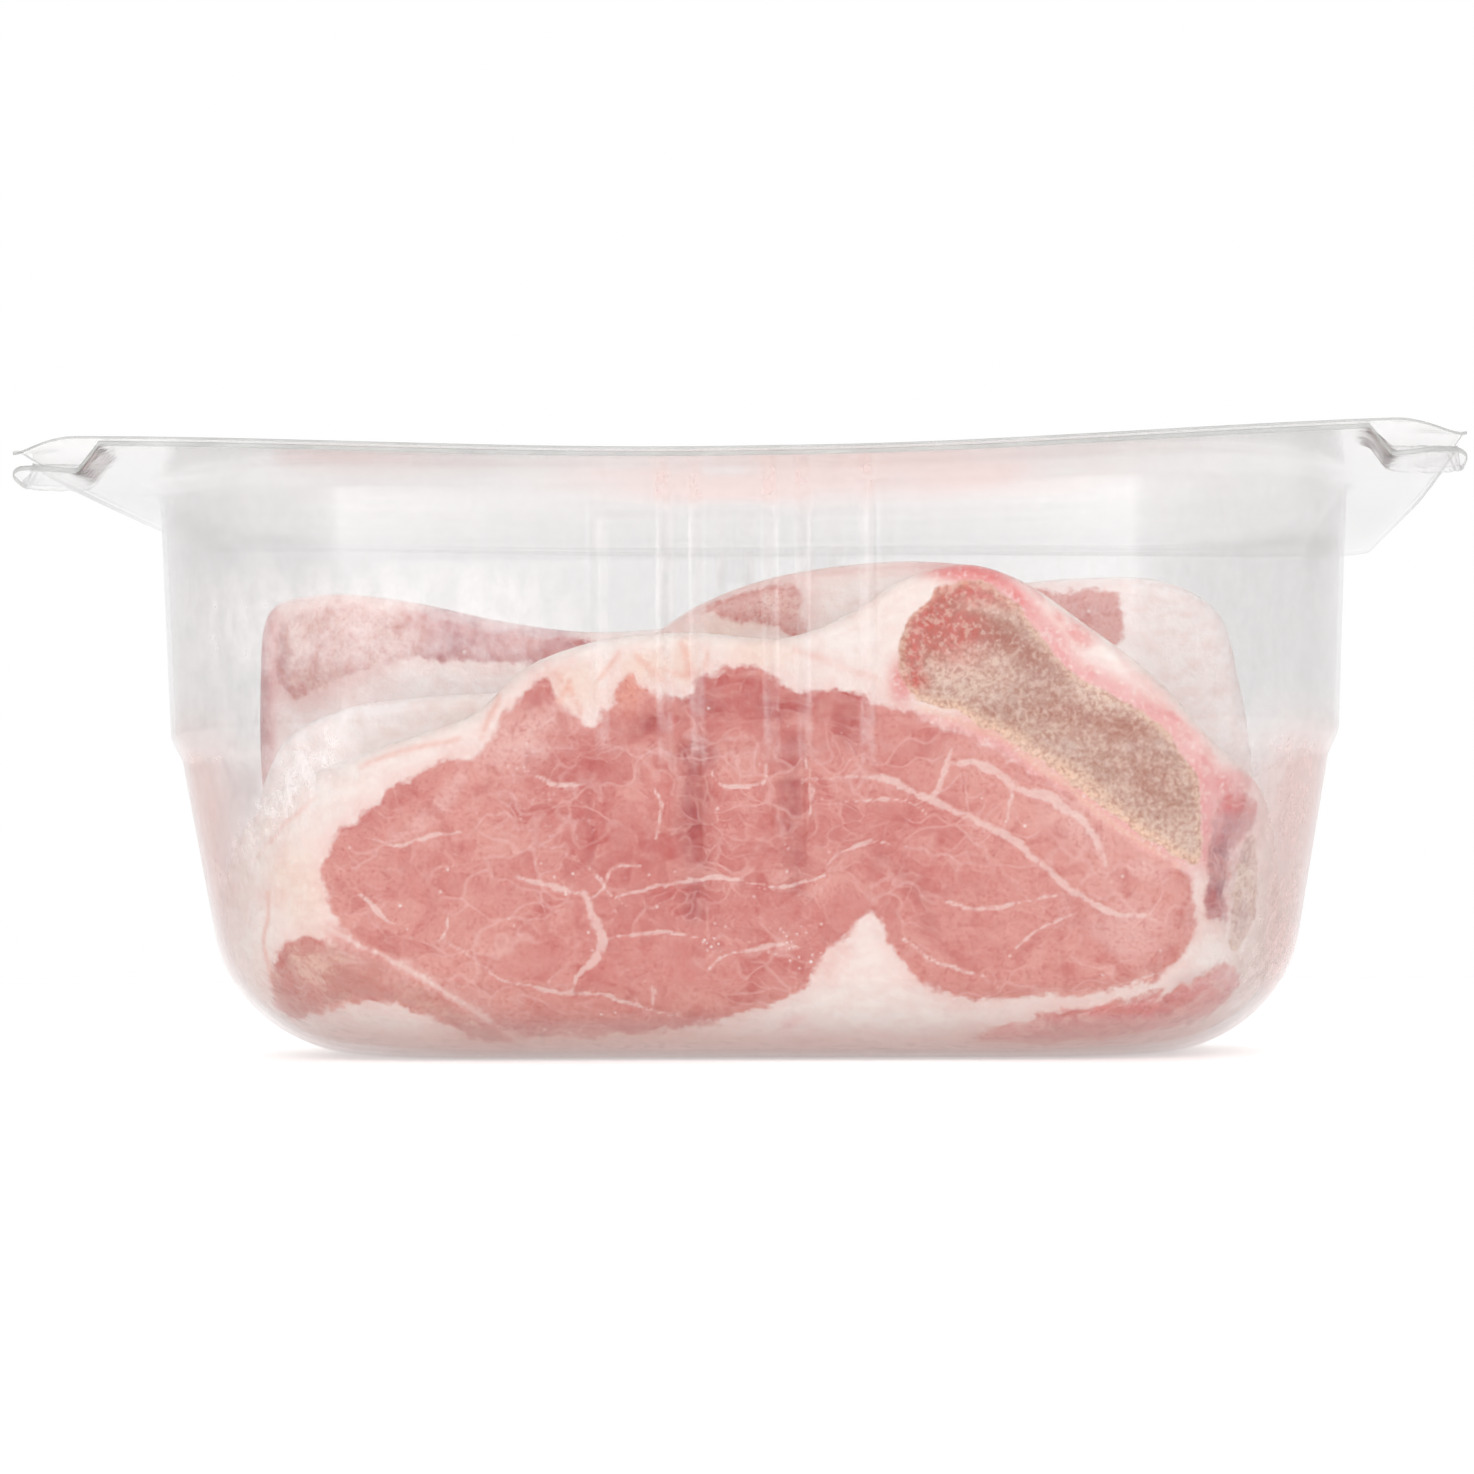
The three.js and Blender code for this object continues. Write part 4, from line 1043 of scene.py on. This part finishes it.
class Surface(Nodes):
    """A material's nodes. mm is the place on the object in millimetres."""

    def __init__(self, name):
        self.material = bpy.data.materials.new(name)
        super().__init__(self.material)
        place = self.add("TexCoord").outputs["Object"]
        self.mm = self.vector("SCALE", {0: place, "Scale": 1 / MM})

    def noise(self, size, detail=3.0, stretch=(1, 1, 1), roughness=0.55, distortion=0.0):
        """Noise from 0 to 1 with features of about that many millimetres."""
        inputs = {"Vector": self.vector("MULTIPLY", {0: self.mm, 1: stretch}), "Scale": 1 / size}
        inputs |= {"Detail": detail, "Roughness": roughness, "Distortion": distortion}
        return self.add("TexNoise", inputs).outputs["Fac"]

    def warped(self, size, reach, stretch):
        """The places in millimetres, each moved by up to about half of reach, then stretched."""
        push = self.add("TexNoise", {"Vector": self.mm, "Scale": 1 / size, "Detail": 1.0}).outputs["Color"]
        push = self.vector("SCALE", {0: push, "Scale": reach})
        return self.vector("MULTIPLY", {0: self.vector("ADD", {0: self.mm, 1: push}), 1: stretch})

    def cells(self, size, place=None, feature="F1", output="Distance"):
        inputs = {"Vector": place or self.mm, "Scale": 1 / size}
        return self.add("TexVoronoi", inputs, feature=feature).outputs[output]

    def network(self, size, place, width, patch, full):
        """Lines between cells of that size, in patches."""
        lines = self.step(self.cells(size, place, "DISTANCE_TO_EDGE"), width, 0.0)
        return self.times(lines, self.step(self.noise(patch, 1), 0.4, full))

    def bump(self, height, distance, strength):
        inputs = {"Height": height, "Distance": distance * MM, "Strength": strength}
        return self.add("Bump", inputs).outputs[0]

    def clear(self, tint):
        return self.add("BsdfTransparent", {"Color": (*tint, 1)}).outputs[0]

    def blend(self, share, one, other):
        return self.add("MixShader", {0: share, 1: one, 2: other}).outputs[0]

    def finish(self, surface):
        self.add("OutputMaterial", {"Surface": surface})
        return self.material


def lean_colour(n, grain, fibre):
    """Muscle: mottled, with bundles of fibre, a network of fine fat and the seams that the mesh carries."""
    meat = n.stain(n.read("meat_colour", "Color"), FLESH_PALE, grain, 0.35, 0.75, 0.3)
    meat = n.stain(meat, LEAN_DEEP, n.noise(5, 3, distortion=0.8), 0.48, 0.7, 0.5)
    meat = n.stain(meat, FLESH_PALE, n.noise(6, 3, (0.7, 1, 1.4), distortion=0.8), 0.5, 0.74, 0.4)
    bent = n.warped(7, 10, (0.55, 1, 1.15))
    meat = n.stain(meat, LEAN_DEEP, n.cells(7, bent, output="Color"), 0.1, 0.9, 0.3)
    meat = n.stain(meat, FLESH_PALE, n.cells(3.2, bent, output="Color"), 0.3, 0.9, 0.24)
    meat = n.stain(meat, LEAN_DEEP, fibre, 0.5, 0.72, 0.35)
    meat = n.mix(n.times(n.network(7, bent, 0.06, 14, 0.6), 0.34), meat, FAT_PINK)
    meat = n.mix(n.times(n.network(3.2, bent, 0.07, 8, 0.66), 0.26), meat, FAT_PINK)
    flecks = n.times(n.step(n.cells(2.6), 0.16, 0.07), n.step(n.noise(6, 3), 0.52, 0.66))
    meat = n.mix(n.times(flecks, 0.6), meat, FAT)
    torn = n.times(n.plus(n.noise(1.3, 2), -0.5), 0.8)
    seam = n.step(n.plus(n.read("seam"), torn), 0.28, 0.62)
    return n.mix(n.times(seam, 0.6), meat, n.mix(grain, FAT_PINK, FAT))


def fat_colour(n):
    fat = n.stain(n.read("fat_colour", "Color"), FAT_PINK, n.noise(3.2, 3, (1, 1, 1.6)), 0.35, 0.7, 0.3)
    return n.stain(fat, FAT_WHITE, n.noise(0.9, 1), 0.5, 0.8, 0.4)


def bone_colour(n):
    """Sawn bone: brown pores between pale struts."""
    pores = n.noise(0.8, 3, roughness=0.78)
    sawn = n.stain(n.read("bone_colour", "Color"), BONE_BROWN, pores, 0.42, 0.62, 0.55)
    return n.stain(sawn, BONE_BEIGE, n.noise(1.2, 2, roughness=0.7), 0.46, 0.66, 0.4)


def flesh_material():
    n = Surface("moist_flesh")
    grain, fibre = n.noise(1.6, 2), n.noise(0.55, 1)
    ragged = n.times(n.plus(n.noise(3.4, 3, roughness=0.65), -0.5), 4.6)
    lean = n.step(n.plus(n.read("lean"), ragged), -0.7, 0.6)
    bone = n.step(n.plus(n.read("bone"), n.times(ragged, 0.5)), -0.3, 0.3)
    colour = n.mix(lean, fat_colour(n), lean_colour(n, grain, fibre))
    colour = n.mix(bone, colour, bone_colour(n))
    # White specks: foam bubbles, and painted glints on wet droplets
    foam_glint_drops = n.times(n.step(n.cells(1.0), 0.34, 0.2), n.step(n.noise(1.8, 3), 0.45, 0.6))
    colour = n.mix(n.times(n.times(n.read("foam"), foam_glint_drops), 0.8), colour, FAT_WHITE)
    relief = n.plus(n.times(fibre, 0.12), n.times(n.noise(2.8, 2), 0.5))
    rough = n.plus(n.step(n.noise(2.2, 0), 0.3, 0.7, 0.26, 0.46), n.times(bone, 0.3))
    inputs = {"Base Color": colour, "Roughness": rough, "Normal": n.bump(relief, 0.6, 0.6), "IOR": 1.38}
    return n.finish(n.add("BsdfPrincipled", inputs).outputs[0])


CLEAR_TINT = (0.932, 0.93, 0.93)
FILM_TINT = (0.985, 0.98, 0.978)
HAZE_WHITE = srgb(247, 241, 240)
JUICE_PINK = srgb(240, 205, 199)


def plastic_material(name, tint, mist_share, scratches):
    """Clear plastic: see-through by its tint, with gloss that grows to grazing and a little mist."""
    n = Surface(name)
    facing = n.add("LayerWeight", {"Blend": 0.5}).outputs["Facing"]
    gloss = n.plus(n.times(n.math("POWER", facing, 5.0), 0.7), 0.022)
    cloud = n.noise(2.6, 3, (1, 1, 0.6), 0.65)
    mist = n.times(n.read("haze"), n.step(cloud, 0.2, 0.78, 0.0, 0.42))
    mist = n.plus(mist, n.times(n.read("juice"), 0.23))
    rubbed = n.step(cloud, 0.4, 0.75, mist_share, mist_share + scratches)
    haze = n.math("ADD", mist, rubbed, clamp=True)
    hue = n.mix(n.math("MULTIPLY", n.read("juice"), 1.6, clamp=True), HAZE_WHITE, JUICE_PINK)
    milky = n.add("BsdfDiffuse", {"Color": hue}).outputs[0]
    normal = n.bump(n.noise(14, 0, (1, 1, 0.35)), 0.08, 0.4)
    shine = {"Color": (1, 1, 1, 1), "Roughness": 0.2, "Normal": normal}
    shine = n.add("BsdfAnisotropic", shine).outputs[0]
    return n.finish(n.blend(gloss, n.blend(haze, n.clear(tint), milky), shine))


def rim_material():
    """The cut edge of the plastic, where light is trapped and it looks grey, more so at the front."""
    n = Surface("cut_edge")
    depth = n.add("SeparateXYZ", {0: n.mm}).outputs["Y"]
    grey = n.mix(n.noise(6, 3, (1, 1, 4)), srgb(140, 142, 139), srgb(196, 197, 194))
    solid = n.add("BsdfPrincipled", {"Base Color": grey, "Roughness": 0.35}).outputs[0]
    return n.finish(n.blend(n.step(depth, -40, 40, 0.65, 0.1), n.clear(CLEAR_TINT), solid))


def floor_material():
    n = Surface("pale_floor")
    tone = n.mix(n.noise(300, 2), srgb(250, 250, 250), srgb(253, 253, 253))
    inputs = {"Base Color": tone, "Roughness": 0.9, "Emission Color": (1, 1, 1, 1)}
    inputs["Emission Strength"] = FLOOR_GLOW
    return n.finish(n.add("BsdfPrincipled", inputs).outputs[0])


# Putting it together

def dress(obj, materials, *nodes):
    for material in materials:
        obj.data.materials.append(material)
    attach(obj, "root")
    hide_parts(*nodes)


LEAN_SLOTS = {"fat": "fat", "eye": "lean", "flank": "lean", "belly": "lean", "cap": "lean", "bone": "bone"}
LEAN_SLOTS |= {"collar": "dark_lean", "spur": "bone"}
DARK_SLOTS = LEAN_SLOTS | {"eye": "dark_lean", "cap": "dark_lean", "tail": "dark_lean"}
CHOP_PLANS = [
    ("front_chop", FRONT_CHOP, front_look, "fat eye flank belly bone collar spur", LEAN_SLOTS),
    ("second_chop", SECOND_CHOP, second_look, "fat eye cap bone", LEAN_SLOTS),
    ("third_chop", THIRD_CHOP, third_look, "fat eye cap bone tail", DARK_SLOTS),
    ("back_chop", BACK_CHOP, back_look, "fat eye bone", LEAN_SLOTS),
]


def build_pack():
    flesh, rim = flesh_material(), rim_material()
    tray, lid = make_tray(), make_lid()
    dress(tray, [plastic_material("clear_tray", CLEAR_TINT, 0.015, 0.02), rim], "tray")
    dress(lid, [plastic_material("clear_film", FILM_TINT, 0.02, 0.02), rim], "lid_film")
    coarse = 1.1
    for place, (name, shapes, look, parts, slots) in enumerate(CHOP_PLANS):
        pieces = [(f"{name}_{part}_flesh", part, slots[part]) for part in parts.split()]
        step = coarse if place else coarse / 2
        for obj, part in zip(make_chop(place, shapes, look, pieces, step), parts.split()):
            dress(obj, [flesh], f"{name}_{part}")


def make_floor():
    size = 620
    corners = [(-size, -size, -0.2), (size, -size, -0.2), (size, size, -0.2), (-size, size, -0.2)]
    floor = make_mesh("floor", corners, [(0, 1, 2, 3)])
    floor.data.materials.append(floor_material())


def add_lamp(name, place, target, width, height, power):
    data = bpy.data.lights.new(name, "AREA")
    data.shape = "RECTANGLE"
    data.size, data.size_y = width * MM, height * MM
    data.energy = power
    lamp = bpy.data.objects.new(name, data)
    place, target = Vector(place) * MM, Vector(target) * MM
    lamp.location = place
    lamp.rotation_euler = (target - place).to_track_quat("-Z", "Y").to_euler()
    bpy.context.scene.collection.objects.link(lamp)


def add_lights():
    """A white surround that is dimmer in front, a lamp above, one in front, and two strips for the gloss."""
    world = bpy.data.worlds.new("studio")
    n = Nodes(world)
    direction = n.add("SeparateXYZ", {0: n.add("TexCoord").outputs["Generated"]})
    behind = n.step(direction.outputs["Y"], 0.1, 0.6, SURROUND_LIGHT)
    seen = n.add("LightPath").outputs["Is Camera Ray"]
    light = {"Color": (1, 1, 1, 1), "Strength": n.math("MAXIMUM", seen, behind)}
    n.add("OutputWorld", {"Surface": n.add("Background", light).outputs[0]})
    bpy.context.scene.world = world
    add_lamp("overhead", (0, -60, 900), (0, 0, 50), 1000, 800, 2.0)
    add_lamp("front_fill", (60, -1000, 430), (0, 0, 30), 1400, 600, 6.8)
    add_lamp("left_strip", (-245, -900, 200), (-60, 0, 70), 60, 260, 0.4)
    add_lamp("right_strip", (120, -900, 200), (60, 0, 70), 60, 260, 0.45)


def add_camera():
    """The camera, placed by its distance from the flange's front edge and its offset to the side."""
    data = bpy.data.cameras.new("camera")
    data.sensor_width = SENSOR
    data.lens = FOCAL_PIXELS / PICTURE * SENSOR
    data.clip_start = 0.01
    camera = bpy.data.objects.new("camera", data)
    yaw = Matrix.Rotation(CAMERA_YAW, 4, "Z")
    tilt = Matrix.Rotation(math.pi / 2 + CAMERA_PITCH, 4, "X") @ Matrix.Rotation(CAMERA_ROLL, 4, "Z")
    place = Vector((0, -FLANGE_Y / 2, CAMERA_HEIGHT)) + yaw @ Vector((CAMERA_SIDE, -CAMERA_FAR, 0))
    camera.matrix_world = Matrix.Translation(place * MM) @ yaw @ tilt
    bpy.context.scene.collection.objects.link(camera)
    bpy.context.scene.camera = camera


build_pack()
make_floor()
add_lights()
add_camera()
bpy.context.scene.view_settings.view_transform = "Standard"
bpy.context.scene.cycles.diffuse_bounces = 2
bpy.context.scene.cycles.glossy_bounces = 2
